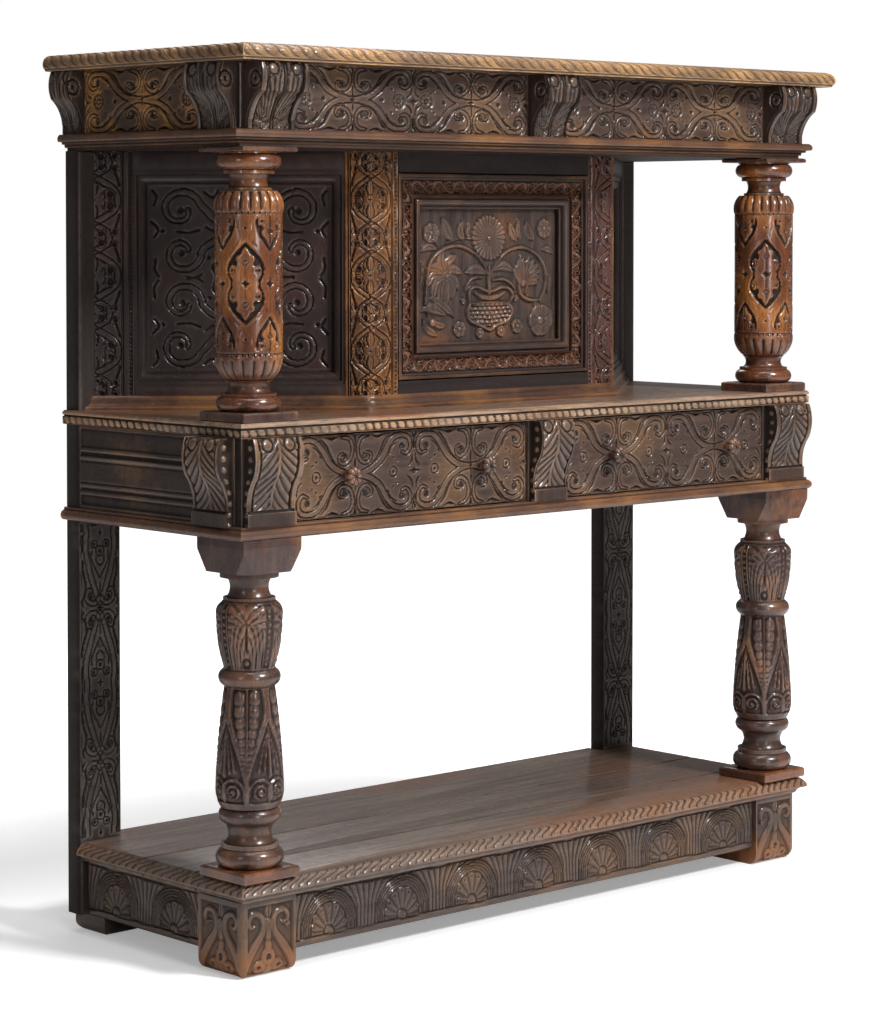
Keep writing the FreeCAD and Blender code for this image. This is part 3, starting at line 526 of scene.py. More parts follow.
def makeWearAndPaintedLightGroup():
    group, given, put = newGroup(
        "carvedWearAndPaintedLight", [("Patch Size", "NodeSocketFloat", 9.0), ("Rub", "NodeSocketFloat", 0.5),
                       ("Wear", "NodeSocketFloat", 0.6), ("Sink", "NodeSocketFloat", 0.4)],
        [("Worn And Highlight", "NodeSocketFloat"), ("Grime And Shade", "NodeSocketFloat"), ("Patch", "NodeSocketFloat"),
         ("Mottle", "NodeSocketFloat"), ("Scuff", "NodeSocketFloat")])
    coordinates = addNode(group, "ShaderNodeTexCoord", (-900, 300)).outputs["Object"]
    masks = {label: addNode(group, "ShaderNodeAttribute", attribute_name=label).outputs["Fac"]
             for label in ("crest", "hollow", "depth", "scuff")}
    patch = addNode(group, "ShaderNodeTexNoise")
    group.links.new(coordinates, patch.inputs["Vector"])
    group.links.new(given.outputs["Patch Size"], patch.inputs["Scale"])
    patch.inputs["Detail"].default_value = 3.0
    mottle = noiseNode(group, coordinates, 60.0, 5.0, 0.7, 0.4)
    # worn: ridges lightened where patches and mottle fall, as edge wear and painted highlight
    rubbedAndHighlit = mathNode(group, "ADD", rampNode(group, patch.outputs["Fac"], 0.35, 0.7),
                      given.outputs["Rub"])
    worn = mathNode(group, "MULTIPLY", masks["crest"], rubbedAndHighlit)
    worn = mathNode(group, "MULTIPLY", worn, rampNode(group, mottle, 0.3, 0.62, 0.25, 1.0), True)
    worn = mathNode(group, "MULTIPLY", worn, given.outputs["Wear"], True)
    # grime and painted shade: the hollows and the deepest cuts darkened
    deepGrimeAndShade = mathNode(group, "MULTIPLY", rampNode(group, masks["depth"], 0.1, 0.75), given.outputs["Sink"])
    hollowGrimeAndShade = mathNode(group, "MULTIPLY", mathNode(group, "MULTIPLY", given.outputs["Sink"], 2.4, True),
                      masks["hollow"])
    grimeAndShade = mathNode(group, "MAXIMUM", hollowGrimeAndShade, deepGrimeAndShade)
    scuff = mathNode(group, "MULTIPLY", masks["scuff"], rampNode(group, mottle, 0.25, 0.6, 0.45, 1.0), True)
    grimeAndShade = mathNode(group, "MULTIPLY", grimeAndShade, rampNode(group, mottle, 0.15, 0.5, 0.7, 1.0), True)
    group.links.new(worn, put.inputs["Worn And Highlight"])
    group.links.new(grimeAndShade, put.inputs["Grime And Shade"])
    group.links.new(scuff, put.inputs["Scuff"])
    group.links.new(rampNode(group, patch.outputs["Fac"], 0.48, 0.68), put.inputs["Patch"])
    group.links.new(mottle, put.inputs["Mottle"])
    return group


grainGroup, wearAndPaintedLightGroup = makeGrainGroup(), makeWearAndPaintedLightGroup()
grains = {"across": (5, 90, 90), "upright": (90, 90, 5), "deep": (90, 5, 90), "turned": (60, 60, 8)}


def mixColour(tree, amount, one, other):
    node = addNode(tree, "ShaderNodeMix", data_type="RGBA")
    tree.links.new(amount, node.inputs[0])
    for socket, value in ((node.inputs[6], one), (node.inputs[7], other)):
        if isinstance(value, tuple):
            socket.default_value = value
        else:
            tree.links.new(value, socket)
    return node.outputs[2]


def makeOak(name, grain, look, **changes):  # a finish: a look, and what differs in this one
    # rub and wear set how far ridges take the worn colour, edge wear and painted highlight; sink sets how far
    # hollows take the ground colour, grime and painted shade
    look = {"patchSize": 9.0, "rub": 0.3, "patch": None, "rough": 0.42, "coat": 0.5, "bump": 0.35,
            "gleam": 0.3, "wear": 0.6, "sink": 0.4, "scuffed": (178, 116, 56), **look, **changes}
    look = {label: tint(*value) if isinstance(value, tuple) else value for label, value in look.items()}
    material = bpy.data.materials.new(name)
    material.use_nodes = True
    tree = material.node_tree
    shader = tree.nodes["Principled BSDF"]
    figure = addNode(tree, "ShaderNodeGroup", (-900, 200), node_tree=grainGroup)
    figure.inputs["Stretch"].default_value = grains[grain]
    wear = addNode(tree, "ShaderNodeGroup", (-900, -200), node_tree=wearAndPaintedLightGroup)
    wear.inputs["Patch Size"].default_value = look["patchSize"]
    for label in ("rub", "wear", "sink"):
        wear.inputs[label.capitalize()].default_value = look[label]
    colour = mixColour(tree, figure.outputs["Figure"], look["body"], look["dark"])
    if look["patch"]:
        colour = mixColour(tree, wear.outputs["Patch"], colour, look["patch"])
    shadeAmount = rampNode(tree, wear.outputs["Mottle"], 0.3, 0.7, 0.0, 0.45)
    colour = mixColour(tree, shadeAmount, colour, look["dark"])
    # ridges take the worn colour: edge wear and painted highlight
    colour = mixColour(tree, wear.outputs["Worn And Highlight"], colour, look["worn"])
    pores = mathNode(tree, "MULTIPLY", figure.outputs["Pores"], 0.55)
    colour = mixColour(tree, pores, colour, look["ground"])
    colour = mixColour(tree, wear.outputs["Scuff"], colour, look["scuffed"])
    # hollows and deep cuts take the ground colour: grime and painted shade
    colour = mixColour(tree, wear.outputs["Grime And Shade"], colour, look["ground"])
    tree.links.new(colour, shader.inputs["Base Color"])
    rough = rampNode(tree, wear.outputs["Mottle"], 0.3, 0.7, look["rough"] - 0.08, look["rough"] + 0.1)
    rough = mathNode(tree, "ADD", rough, mathNode(tree, "MULTIPLY", wear.outputs["Grime And Shade"], 0.35), True)
    tree.links.new(rough, shader.inputs["Roughness"])
    clean = mathNode(tree, "SUBTRACT", 1.0, wear.outputs["Grime And Shade"], True)
    tree.links.new(mathNode(tree, "MULTIPLY", clean, look["coat"]), shader.inputs["Coat Weight"])
    shader.inputs["Coat Roughness"].default_value = 0.2
    shader.inputs["Specular IOR Level"].default_value = look["gleam"]
    bump = addNode(tree, "ShaderNodeBump", (-200, -400))
    bump.inputs["Strength"].default_value = look["bump"]
    bump.inputs["Distance"].default_value = 0.0006
    height = mathNode(tree, "SUBTRACT", mathNode(tree, "MULTIPLY", wear.outputs["Mottle"], 0.8),
                      figure.outputs["Pores"])
    tree.links.new(height, bump.inputs["Height"])
    tree.links.new(bump.outputs["Normal"], shader.inputs["Normal"])
    return material


# in each look, worn is the colour of ridges and edges, as edge wear and painted highlight; ground is the
# colour of pores, and of hollows as grime and painted shade
darkLook = {"ground": (24, 17, 15), "body": (82, 63, 55), "dark": (52, 38, 33), "worn": (132, 100, 76),
            "patch": (106, 78, 52)}
warmLook = {"ground": (30, 18, 13), "body": (100, 66, 46), "dark": (64, 40, 29), "worn": (150, 104, 66),
            "patch": (126, 84, 46)}
orangeLook = {"ground": (26, 18, 16), "body": (118, 66, 36), "dark": (72, 38, 24), "worn": (176, 122, 76),
              "patch": (160, 98, 44), "rough": 0.24, "coat": 0.8, "sink": 0.9, "wear": 0.4, "rub": 0.2,
              "patchSize": 12.0}
plainLook = {"ground": (24, 17, 14), "body": (66, 46, 36), "dark": (42, 29, 23), "worn": (96, 68, 48),
             "coat": 0.05, "rough": 0.55}
# the pale grey tone of the pot boards is partly the wood's and partly painted sheen: the light their tops
# reflect
boardLookWithSheen = {"ground": (30, 22, 18), "body": (132, 114, 102), "dark": (88, 70, 60), "worn": (164, 134, 108),
             "patch": (126, 82, 56), "patchSize": 3.0, "rough": 0.36, "coat": 0.5}
carvedUpright = makeOak("carved_oak_upright", "upright", darkLook)
carvedAcross = makeOak("carved_oak_across", "across", darkLook)
mouldedAcross = makeOak("moulded_oak", "across", warmLook)
turnedOrange = makeOak("turned_oak_orange", "turned", orangeLook)
turnedDark = makeOak("turned_oak_dark", "turned", warmLook, body=(84, 60, 52), dark=(50, 32, 29),
                     patch=(124, 80, 52), worn=(160, 124, 98), patchSize=12.0, rough=0.3, coat=0.7,
                     sink=0.42, wear=0.4)
boardOakWithSheen = makeOak("board_oak", "across", boardLookWithSheen)
plainAcross = makeOak("plain_oak", "across", plainLook)
tanEdge = makeOak("top_edge_oak", "across", warmLook, body=(112, 84, 62), worn=(214, 168, 112),
                  dark=(78, 56, 42), patch=(120, 86, 58), rub=0.5, wear=0.85, sink=0.8)
# the shelf is lighter still, partly painted sheen of the top light on its upper face
shelfOakWithSheen = makeOak("shelf_oak_painted_sheen", "across", boardLookWithSheen, body=(168, 140, 118), worn=(196, 158, 120), rub=0.5,
                   patchSize=5.0)
plinthOak = makeOak("plinth_oak", "across", darkLook, body=(82, 66, 58), patch=(104, 74, 50),
                    worn=(132, 104, 80), sink=0.32, wear=0.45)
footOak = makeOak("foot_oak", "upright", darkLook, body=(62, 46, 36), patch=(88, 60, 36),
                  ground=(34, 23, 18), scuffed=(146, 92, 50), sink=0.3, wear=0.5)
plinthOakDeep = makeOak("plinth_oak_deep", "deep", darkLook, body=(60, 46, 39), sink=0.34, wear=0.45)
postOak = makeOak("post_oak", "upright", plainLook, body=(46, 40, 38), worn=(92, 84, 80), wear=0.9, rub=0.5)
stileOak = makeOak("stile_oak", "upright", warmLook, body=(100, 62, 38), worn=(180, 124, 66),
                   dark=(58, 34, 24), patch=(148, 92, 42), sink=0.5)
redStileOak = makeOak("red_stile_oak", "upright", warmLook, body=(92, 58, 50), worn=(140, 92, 74),
                      dark=(58, 36, 32), patch=(112, 60, 44))
cantOak = makeOak("cant_oak", "upright", darkLook, body=(46, 30, 27), dark=(30, 21, 20), patch=(60, 35, 29),
                  worn=(96, 74, 64), wear=0.4)
# the frieze ends face the side the lamps light least; their finish is lightened there, as painted light
endOakPaintedLight = makeOak("frieze_end_oak_painted_light", "deep", darkLook, body=(84, 62, 48), worn=(190, 136, 76),
                 patch=(124, 84, 46), patchSize=16.0, wear=0.8)
bracketOak = makeOak("bracket_oak", "upright", darkLook, body=(68, 52, 44), dark=(40, 29, 25),
                     worn=(156, 122, 96), patch=(80, 58, 42), rough=0.34, coat=0.6, sink=0.85)
doorOak = makeOak("door_panel_oak", "upright", darkLook, body=(96, 78, 70), worn=(150, 108, 80),
                  patch=(124, 82, 54), patchSize=14.0, sink=0.36, wear=0.45)
darkRail = makeOak("dark_rail_oak", "across", plainLook, body=(50, 40, 37), dark=(34, 26, 24))
doorBandOak = makeOak("door_band_oak", "across", darkLook, body=(62, 44, 38), worn=(120, 84, 62),
                      scuffed=(124, 78, 52), sink=0.5)
turnedWarm = makeOak("turned_oak_warm", "across", orangeLook, body=(84, 52, 40), patch=(122, 70, 42))
plainSideOak = makeOak("side_panel_oak", "deep", darkLook, body=(66, 48, 42))
report("materials")


def blackIron():
    material = bpy.data.materials.new("black_iron")
    material.use_nodes = True
    tree = material.node_tree
    shader = tree.nodes["Principled BSDF"]
    coordinates = addNode(tree, "ShaderNodeTexCoord", (-700, 0)).outputs["Object"]
    scale = noiseNode(tree, coordinates, 140.0, 5.0, 0.65)
    rust = rampNode(tree, noiseNode(tree, coordinates, 45.0, 4.0, 0.6), 0.52, 0.7)
    colour = mixColour(tree, scale, tint(44, 42, 42), tint(24, 23, 24))
    tree.links.new(mixColour(tree, rust, colour, tint(84, 52, 36)), shader.inputs["Base Color"])
    tree.links.new(rampNode(tree, scale, 0.3, 0.7, 0.45, 0.75), shader.inputs["Roughness"])
    shader.inputs["Metallic"].default_value = 0.85
    bump = addNode(tree, "ShaderNodeBump", (-200, -400))
    bump.inputs["Distance"].default_value = 0.0004
    bump.inputs["Strength"].default_value = 0.5
    tree.links.new(scale, bump.inputs["Height"])
    tree.links.new(bump.outputs["Normal"], shader.inputs["Normal"])
    return material


def paintPlainParts():  # CAD parts whose shape is right keep it and take a finish
    finishes = {"plain_oak": plainAcross, "carved_oak": carvedUpright, "turned_oak": turnedDark,
                "board_oak": boardOakWithSheen, "moulded_oak": mouldedAcross, "black_iron": blackIron()}
    for name, part in nodes.items():
        slotName = part.data.materials[0].name if part.data.materials else "plain_oak"
        chosen = next((look for key, look in finishes.items() if slotName.startswith(key)), plainAcross)
        part.data.materials.clear()
        part.data.materials.append(darkRail if name in ("bay_rails", "tier_corner_blocks") else chosen)


# strapwork of drawers and frieze
def strapTile(pitch, half, roses=False):
    # a quarter of one unit: u from its upright axis to its end, v from mid height to the border
    tile = newTile(pitch, half)
    tall, wide = half / 56.0, pitch / 109.0

    def line(*points):
        return curve([(u * wide, v * tall) for u, v in points])

    def spot(u, v):
        return (u * wide, v * tall)

    scroll = line((2, 0), (16, 2), (32, 8), (47, 19), (58, 35), (70, 47), (86, 50.5), (99, 45), (102, 33),
                  (95, 24), (86, 26))
    edges(tile, scroll, (8, 9, 9.5, 9.5, 9.5, 9, 8.5, 8, 7.5, 6, 4), 2.3, 3.0)
    hook = line((24, 52.5), (12, 50), (6, 42), (5, 31), (10, 20), (20, 15), (28, 19), (29, 27), (22, 30))
    edges(tile, hook, (3, 5.5, 6, 6, 6, 6, 5.5, 5, 3.5), 2.2, 2.8)
    for strap, size in (  # ground cut away beside the straps, deepest in the forks
            (line((20, 7), (34, 15), (44, 28), (52, 42), (63, 52)), (0.8, 3.0, 4.2, 4.4, 0.8)),
            (line((30, 53.5), (42, 50.5), (54, 53.5)), (0.8, 5.2, 0.8)),
            (line((0, 54), (0, 44), (0, 36)), (6.0, 3.0, 0.8)),
            (line((106, 52), (108.5, 42), (108.5, 30)), (3.4, 3.0, 0.8)),
            (line((60, 24), (66, 35), (76, 41)), (1.2, 3.6, 1.2)),
            (line((0, 4), (0, 14), (0, 24)), (1.0, 2.8, 0.8)),
            (line((106, 24), (104, 13), (96, 6)), (0.8, 3.6, 0.8))):
        groove(tile, strap, size, 3.6)
    for centre, size in (((86, 34), (5.6, 6.0)), ((18, 25), (5.4, 6.0))):
        pit(tile, spot(*centre), size, 3.6)
    tile["ground"] = -9
    for centre in ((87.5, 33), (19.5, 24)):
        boss(tile, spot(*centre), (2.2, 2.6), -1.4)
    tile["ground"] = 0
    for centre, size in (((109, 0), (15, 10)), ((0, 0), (7, 6))):
        star(tile, spot(*centre), size, 4.0)
    for centre, size in (((62, 27), (3.0, 2.2)), ((70, 20), (2.4, 1.8)), ((77, 15), (2.2, 1.6))):
        pit(tile, spot(*centre), size, 2.4, -35)
    if roses:
        pit(tile, spot(84, 0), (13, 12), 3.4)
        tile["ground"] = -3.4
        flower(tile, spot(84, 0), 11.5, 8, -0.2)
        tile["ground"] = 0
        pit(tile, spot(52, 0), (4.4, 3.6), 2.6)
    else:
        ring(tile, spot(70, 0), 7.0, 2.0, 2.6)
        pit(tile, spot(70, 0), (2.8, 2.8), 2.6)
    groove(tile, np.array([(0, half - 1.8), (pitch, half - 1.8)]), 1.6, 1.6)
    return tile


def makeDrawerFronts():
    drawer = {"units": 2, "step": 1.3}
    low, high = boxOf("left_drawer_front")
    half = (high[2] - low[2]) / 2
    pitch = (high[0] - low[0]) / drawer["units"] / 2
    tile = strapTile(pitch, half)

    def relief(u, v):
        u, v = handWobble(u, v, 0.55)
        return heightAt(tile, fold(u - pitch, pitch), np.abs(v - half))

    for side, way in sides:
        place = face(*boxOf(f"{side}_drawer_front"), "front")
        piece = carvedBoard(f"{side}_drawer_carved_front", place, relief, drawer["step"])
        finishPiece(piece, carvedAcross, f"{side}_drawer_front")
        makeKnobs(side)


def makeKnobs(side):
    knob = {"petals": 8, "lift": 1.6, "step": 1.2, "widest": 9}
    low, high = boxOf(f"{side}_drawer_knobs")
    radius = (high[2] - low[2]) / 2
    reach = high[1] - low[1]
    for name, x in (("inner", low[0] + radius), ("outer", high[0] - radius)):
        centre = (x, (low[2] + high[2]) / 2)
        profile = outline([(6, 0, -0.3), (6, 12, 0), (8, 12.4, 0.35), (radius, reach - 9, 0.6),
                           (5, reach - 2, -0.4), (0.4, reach)], 8)

        def petals(angle, s, section):
            share = np.clip((section[:, 1][:, None] - 13) / 6, 0, 1)
            return -knob["lift"] * share * (1 - np.abs(np.cos(angle * knob["petals"] / 2)) ** 0.7)

        piece = turnedPiece(f"{side}_{name}_knob", centre, high[1], profile, petals, knob["step"],
                            knob["widest"], "y")
        finishPiece(piece, turnedDark, f"{side}_drawer_knobs")


def makeFrieze():
    frieze = {"bracketEnd": 481.0, "middleHalf": 34.5, "step": 1.5, "units": 2}
    low, high = boxOf("frieze_front_board")
    half = (high[2] - low[2]) / 2
    panel = frieze["bracketEnd"] - frieze["middleHalf"]
    pitch = panel / frieze["units"] / 2
    tile = strapTile(pitch, half, roses=True)
    centre = (high[0] - low[0]) / 2

    def relief(u, v):
        u, v = handWobble(u, v, 0.6)
        inward = np.abs(u - centre) - frieze["middleHalf"]
        cut = heightAt(tile, fold(inward - pitch, pitch), np.abs(v - half))
        return np.where((inward < 1) | (inward > panel - 1), 0, cut)

    piece = carvedBoard("frieze_carved_front", face(low, high, "front"), relief, frieze["step"])
    finishPiece(piece, carvedAcross, "frieze_front_board")

    sidePanel = {"start": -94.0, "end": 169.0}
    reach = (sidePanel["end"] - sidePanel["start"]) / 2
    sideTile = strapTile(reach, half, roses=True)
    for side, way in sides:
        low, high = boxOf("frieze_end_boards", way)
        place = face(low, high, side)
        middle = (sidePanel["start"] + sidePanel["end"]) / 2
        origin = high[1] if side == "left" else -low[1]

        def sideRelief(u, v):
            u, v = handWobble(u, v, 0.6)
            y = origin - u if side == "left" else u - origin
            out = np.abs(y - middle)
            return np.where(out < reach - 1, heightAt(sideTile, out, np.abs(v - half)), 0)

        piece = carvedBoard(f"frieze_carved_{side}_end", place, sideRelief, frieze["step"])
        finishPiece(piece, endOakPaintedLight, "frieze_end_boards")


# brackets with carved leaves
def bracketPiece(name, node, centre, turn, shape):
    tall, reach, width = shape["tall"], shape["reach"], shape["width"]
    profile = outline([(shape["foot"] * reach, 0), (shape["foot"] * reach, 0.14 * tall),
                       (shape["waist"] * reach, 0.16 * tall, -0.2), (0.92 * reach, 0.55 * tall, 0.22),
                       (0.92 * reach, tall)], 14)
    step = shape["step"] * mesher["coarsen"]
    section, marks, way, normal = sectionOf(profile, step)
    cheek = max(int(reach / step), 3)
    front = max(int(width / step), 4)
    share = np.linspace(0, 1, cheek, endpoint=False)
    across = np.concatenate([np.full(cheek, -width / 2), np.linspace(-width / 2, width / 2, front + 1),
                             np.full(cheek, width / 2)])
    out = np.concatenate([share, np.ones(front + 1), 1 - share - share[1]])
    u, s = np.meshgrid(across, marks)
    depthOut = out[None, :] * section[:, 0][:, None]
    onFront = (out == 1)[None, :] & np.ones(u.shape, bool)
    rim = np.clip((width / 2 - np.abs(u)) / 1.5, 0, 1)
    frontCut = shape["leaf"](u, s, marks[-1]) * rim - 0.8 * (1 - rim)
    sideCut = shape["cheek"](depthOut, section[:, 1][:, None] * np.ones(u.shape), section[:, 0][:, None])
    cut = np.where(onFront, frontCut, sideCut * np.clip(out / 0.08, 0, 1) * np.clip((1 - out) / 0.06, 0, 1))
    x = np.where(onFront, u, u - np.sign(u) * -cut)
    y = -(depthOut + np.where(onFront, cut * way[:, 1][:, None], 0))
    z = section[:, 1][:, None] + np.where(onFront, -cut * way[:, 0][:, None], 0)
    z = np.clip(z, 0, tall)
    a, b = math.cos(math.radians(turn)), math.sin(math.radians(turn))
    points = np.stack([centre[0] + x * a - y * b, centre[1] + x * b + y * a, centre[2] + z], -1)
    backX = np.linspace(-width / 2, width / 2, len(across))[None, :]
    back = np.stack([centre[0] + backX * a, centre[1] + backX * b, np.full(backX.shape, 0.0)], -1)
    foot, head = back.copy(), back.copy()
    foot[..., 2] = centre[2]
    head[..., 2] = centre[2] + tall
    points = np.concatenate([foot, points, head], 0)
    crest, hollow = wearAndPaintedLightMasks(cut)
    # the leaf's edges take the light ridge colour: edge wear and painted highlight
    crest = np.clip(crest + 0.5 * (1 - rim) * onFront, 0, 1)
    layers = {label: np.pad(mask, ((1, 1), (0, 0))) for label, mask in wearAndPaintedLightLayers(cut, crest, hollow).items()}
    finishPiece(gridPiece(name, points, layers), bracketOak, node)


def friezeLeaf(u, s, length):  # a broad leaf whose ribs fan up and out from its foot and curl at the top
    off = np.abs(u)
    share = s / length
    spread = off / (5 + 27 * share ** 0.8)
    phase = spread * 3.1 + 0.35 * np.sin(share * 9 + 1.2 * np.sign(u)) + 0.1
    gouge = np.abs(np.sin(phase * math.pi)) ** 0.6
    cut = -0.4 - 3.0 * (1 - gouge) - 1.5 * (off / 40) ** 2
    notch = np.abs(np.sin((s - 0.7 * off) / 15.0 * math.pi)) ** 0.5
    cut = cut - 1.6 * (1 - notch) * np.clip(spread - 0.25, 0, 1)
    cut = np.where(off < 1.5, -1.0, np.where(off < 3.2, -3.4, cut))
    away = np.hypot(off - 20, (s - 0.9 * length) * 0.9)
    cut = np.where(np.abs(away - 8.5) < 1.7, -3.4, np.where(away < 6.8, -0.2 - 0.03 * away ** 2, cut))
    edge = 33.5 - 1.5 * np.sin(share * math.pi)
    cut = np.where((off > edge - 3.2) & (off < edge), -4.4, cut)
    return np.where(off >= edge, -0.2, cut)


def tierLeaf(u, s, length):  # long curved barbs that hang from a middle rib and curl over at the top
    off = np.abs(u)
    share = s / length
    phase = (s + 33 * (off / 31) ** 0.7 + 3.0 * np.sin(share * 6 + np.sign(u))) / 12.6
    gouge = np.abs(np.sin(phase * math.pi)) ** 0.6
    fine = np.abs(np.sin(phase * 2 * math.pi + 0.7))
    cut = -0.5 - 2.7 * (1 - gouge) - 0.5 * (1 - fine) * gouge
    cut = np.where(off < 1.6, -0.2, np.where(off < 3.0, -3.4, cut))
    away = np.hypot(off - 19, (s - 0.93 * length) * 0.9)
    cut = np.where(np.abs(away - 9) < 1.6, -3.2, np.where(away < 7.4, -0.2 - 0.02 * away ** 2, cut))
    edge = 35.5 - 2.5 * np.sin(share * math.pi)
    cut = np.where((off > edge - 3.0) & (off < edge), -4.2, np.where(off >= edge, -0.2, cut))
    return np.where(share < 0.15, -0.3, np.where(share < 0.18, -2.6, cut))


def eyeCheek(out, up, reach):  # a cut curl on the side of a frieze bracket
    away = np.hypot(out - 0.6 * reach, up - 66)
    curl = np.where(np.abs(away - 10) < 1.6, -2.2, 0)
    return np.where(away < 3.2, -2.4, curl) + np.where(np.abs(reach - out - 4) < 1.0, -1.2, 0)


def studCheek(out, up, reach):  # a row of small studs down the side of a tier bracket
    along = (up - 8) % 15.0 - 7.5
    away = np.hypot(along, out - 0.55 * reach)
    return np.where(away < 4.2, -2.6 + 2.6 * np.sqrt(np.clip(1 - (away / 4.2) ** 2, 0, 1)), -2.6)


def makeBrackets():
    low, high = boxOf("frieze_front_brackets")
    board = boxOf("frieze_front_board")
    ends = boxOf("frieze_side_brackets")
    frieze = {"width": 81.0, "tall": high[2] - low[2], "reach": 42.0, "waist": 0.3, "foot": 0.28,
              "step": 1.5, "leaf": friezeLeaf, "cheek": eyeCheek}
    sideReach = 31.0
    corner = high[0] - frieze["width"] / 2
    for name, x, width in (("left", -corner, 81.0), ("middle", 0, 67.0), ("right", corner, 81.0)):
        bracketPiece(f"frieze_front_bracket_{name}", "frieze_front_brackets", (x, board[0][1], low[2]), 0,
                     {**frieze, "width": width})
    for side, way in sides:
        for name, y, width in (("front", ends[0][1] + 38.0, 76.0), ("rear", ends[1][1] - 21.0, 42.0)):
            bracketPiece(f"frieze_{side}_bracket_{name}", "frieze_side_brackets",
                         (way * board[1][0], y, low[2]), 90 * way,
                         {**frieze, "width": width, "reach": sideReach})
    low, high = boxOf("tier_front_brackets")
    block = boxOf("tier_corner_blocks")
    sideBox = boxOf("tier_side_brackets")
    tier = {"width": 84.0, "tall": high[2] - low[2], "reach": 28.0, "waist": 0.45, "foot": 0.55,
            "step": 1.5, "leaf": tierLeaf, "cheek": studCheek}
    corner = high[0] - tier["width"] / 2
    for name, x, width in (("left", -corner, 84.0), ("middle", 0, 67.0), ("right", corner, 84.0)):
        bracketPiece(f"tier_front_bracket_{name}", "tier_front_brackets", (x, block[0][1], low[2]), 0,
                     {**tier, "width": width})
    for side, way in sides:
        y = (sideBox[0][1] + sideBox[1][1]) / 2
        bracketPiece(f"tier_{side}_bracket", "tier_side_brackets", (way * block[1][0], y, low[2]),
                     90 * way, {**tier, "width": 76.0})


# moulded and carved board edges
def rectangle(low, high):  # the corners of a board seen from above, anticlockwise from the left front
    return [(low[0], low[1]), (high[0], low[1]), (high[0], high[1]), (low[0], high[1])]


def roundedArris(corner, start, radius, count=5):  # a quarter turn that takes the place of a corner
    def spot(turn):
        return radius * np.array([math.cos(turn), math.sin(turn)])

    end = start + math.pi / 2
    centre = np.array(corner) - spot(start) - spot(end)
    return [tuple(centre + spot(turn)) for turn in np.linspace(start, end, count + 1)]


def edgeLeaves(pitch, slope, depth, start, end):  # overlapping leaves that lean along a rounded edge
    def relief(u, s, run):
        middle = (start + end) / 2
        share = np.clip((s - start) / (end - start), 0, 1)
        u = u + 3.2 * np.sin(u / 61.0 + run) + 2.1 * np.sin(u / 17.0)
        phase = (u + slope * (s - middle) + 4.0 * np.sin(share * 2 * math.pi)) / pitch
        within = phase % 1
        ridge = np.abs(np.sin(phase * math.pi)) ** 0.45
        vein = np.abs(np.sin((within * 3.2 + share * 0.8) * math.pi)) ** 0.6
        uneven = 0.55 + 0.45 * np.sin(u / 27.0 + 2.0 * run) * np.sin(u / 9.5)
        inside = np.clip(np.sin(share * math.pi) * 2.6, 0, 1)
        return -depth * inside * ((1 - ridge) + 0.55 * uneven * (1 - vein))
    return relief


def slantedBeads(pitch, depth, start, end):  # oval beads in a sunk band, no two quite alike
    def relief(u, s, run):
        u = u + 2.0 * np.sin(u / 47.0 + run) + 1.2 * np.sin(u / 19.0)
        middle = (start + end) / 2
        place = (u + 0.4 * (s - middle)) % pitch - pitch / 2
        worn = 0.75 + 0.25 * np.sin(u / 33.0 + 2 * run)
        share = np.hypot(place / (pitch * 0.42), (s - middle) / ((end - start) * 0.5))
        bead = np.clip(1 - share ** 2, 0, 1) ** 0.5
        return np.where(np.abs(s - middle) < (end - start) / 2 + 0.6, -depth * worn * (1 - bead), 0)
    return relief


def makeTopBoard():
    top = {"step": 2.0, "pitch": 21.0, "slope": 1.5, "depth": 1.7}
    low, high = boxOf("top_board")
    tall = high[2] - low[2]
    profile = outline([(-9, 0, 0), (-5, 0.5, 0), (-3.8, 3.5, 0), (-2.4, 4.2, 0.42), (-6.5, tall - 2.4, 0.1),
                       (-13, tall)], 12)
    length = respace(profile, 1.2)[1][-1]
    relief = edgeLeaves(top["pitch"], top["slope"], top["depth"], 8.0, length - 2)
    piece = sweptPiece("top_board_moulded", rectangle(low, high), profile + (0, low[2]),
                       (True, True, False, True), relief, top["step"], rowStep=1.7)
    finishPiece(piece, tanEdge, "top_board")


threeSides = (True,) * 3 + (False,) * 5  # moulded at the left, front and right, plain at the back


def threeSidedMoulding(name, node, board, profile, inset, frontInset):  # round the sides and front of a board
    low, high = boxOf(node)
    back = boxOf(board)[1][1]
    corners = [(low[0], back), (low[0], low[1]), (high[0], low[1]), (high[0], back),
               (high[0] - inset, back), (high[0] - inset, low[1] + frontInset),
               (low[0] + inset, low[1] + frontInset), (low[0] + inset, back)]
    piece = sweptPiece(name, corners, profile + (0, low[2]), threeSides, None, 2.5, rowStep=1.4)
    finishPiece(piece, mouldedAcross, node)


def makeCornice():
    inset = 30.0
    profile = outline([(-17, 0), (-17, 4), (-12.5, 4.6), (-12, 8.6), (-7.5, 9.2), (-7, 12.2),
                       (-1.2, 12.6, 0.4), (-1.6, 21.4), (-3.5, 23)], 8)
    threeSidedMoulding("cornice_moulded", "cornice_moulding", "cornice_soffit", profile, inset, inset)


def makeNosing():
    inset = boxOf("tier_nosing")[1][0] - boxOf("tier_floor_board")[1][0]
    profile = outline([(-5, 0, 0.62), (-5, 13.5), (-6.8, 14), (-7, 17.4), (-8.5, 18)], 12)
    threeSidedMoulding("tier_nosing_moulded", "tier_nosing", "tier_floor_board", profile, inset, inset + 1)


def notchedCorners(low, high, post, lugs):  # a board notched round the rear posts, with lugs outside or not
    front, outer, inner = post[0][1], post[1][0], post[0][0]
    half = [(high[0], high[1]), (outer, high[1]), (outer, front)] if lugs else [(high[0], front)]
    half += [(inner, front), (inner, high[1])]
    return [(low[0], low[1]), (high[0], low[1])] + half + [(-x, y) for x, y in reversed(half)]


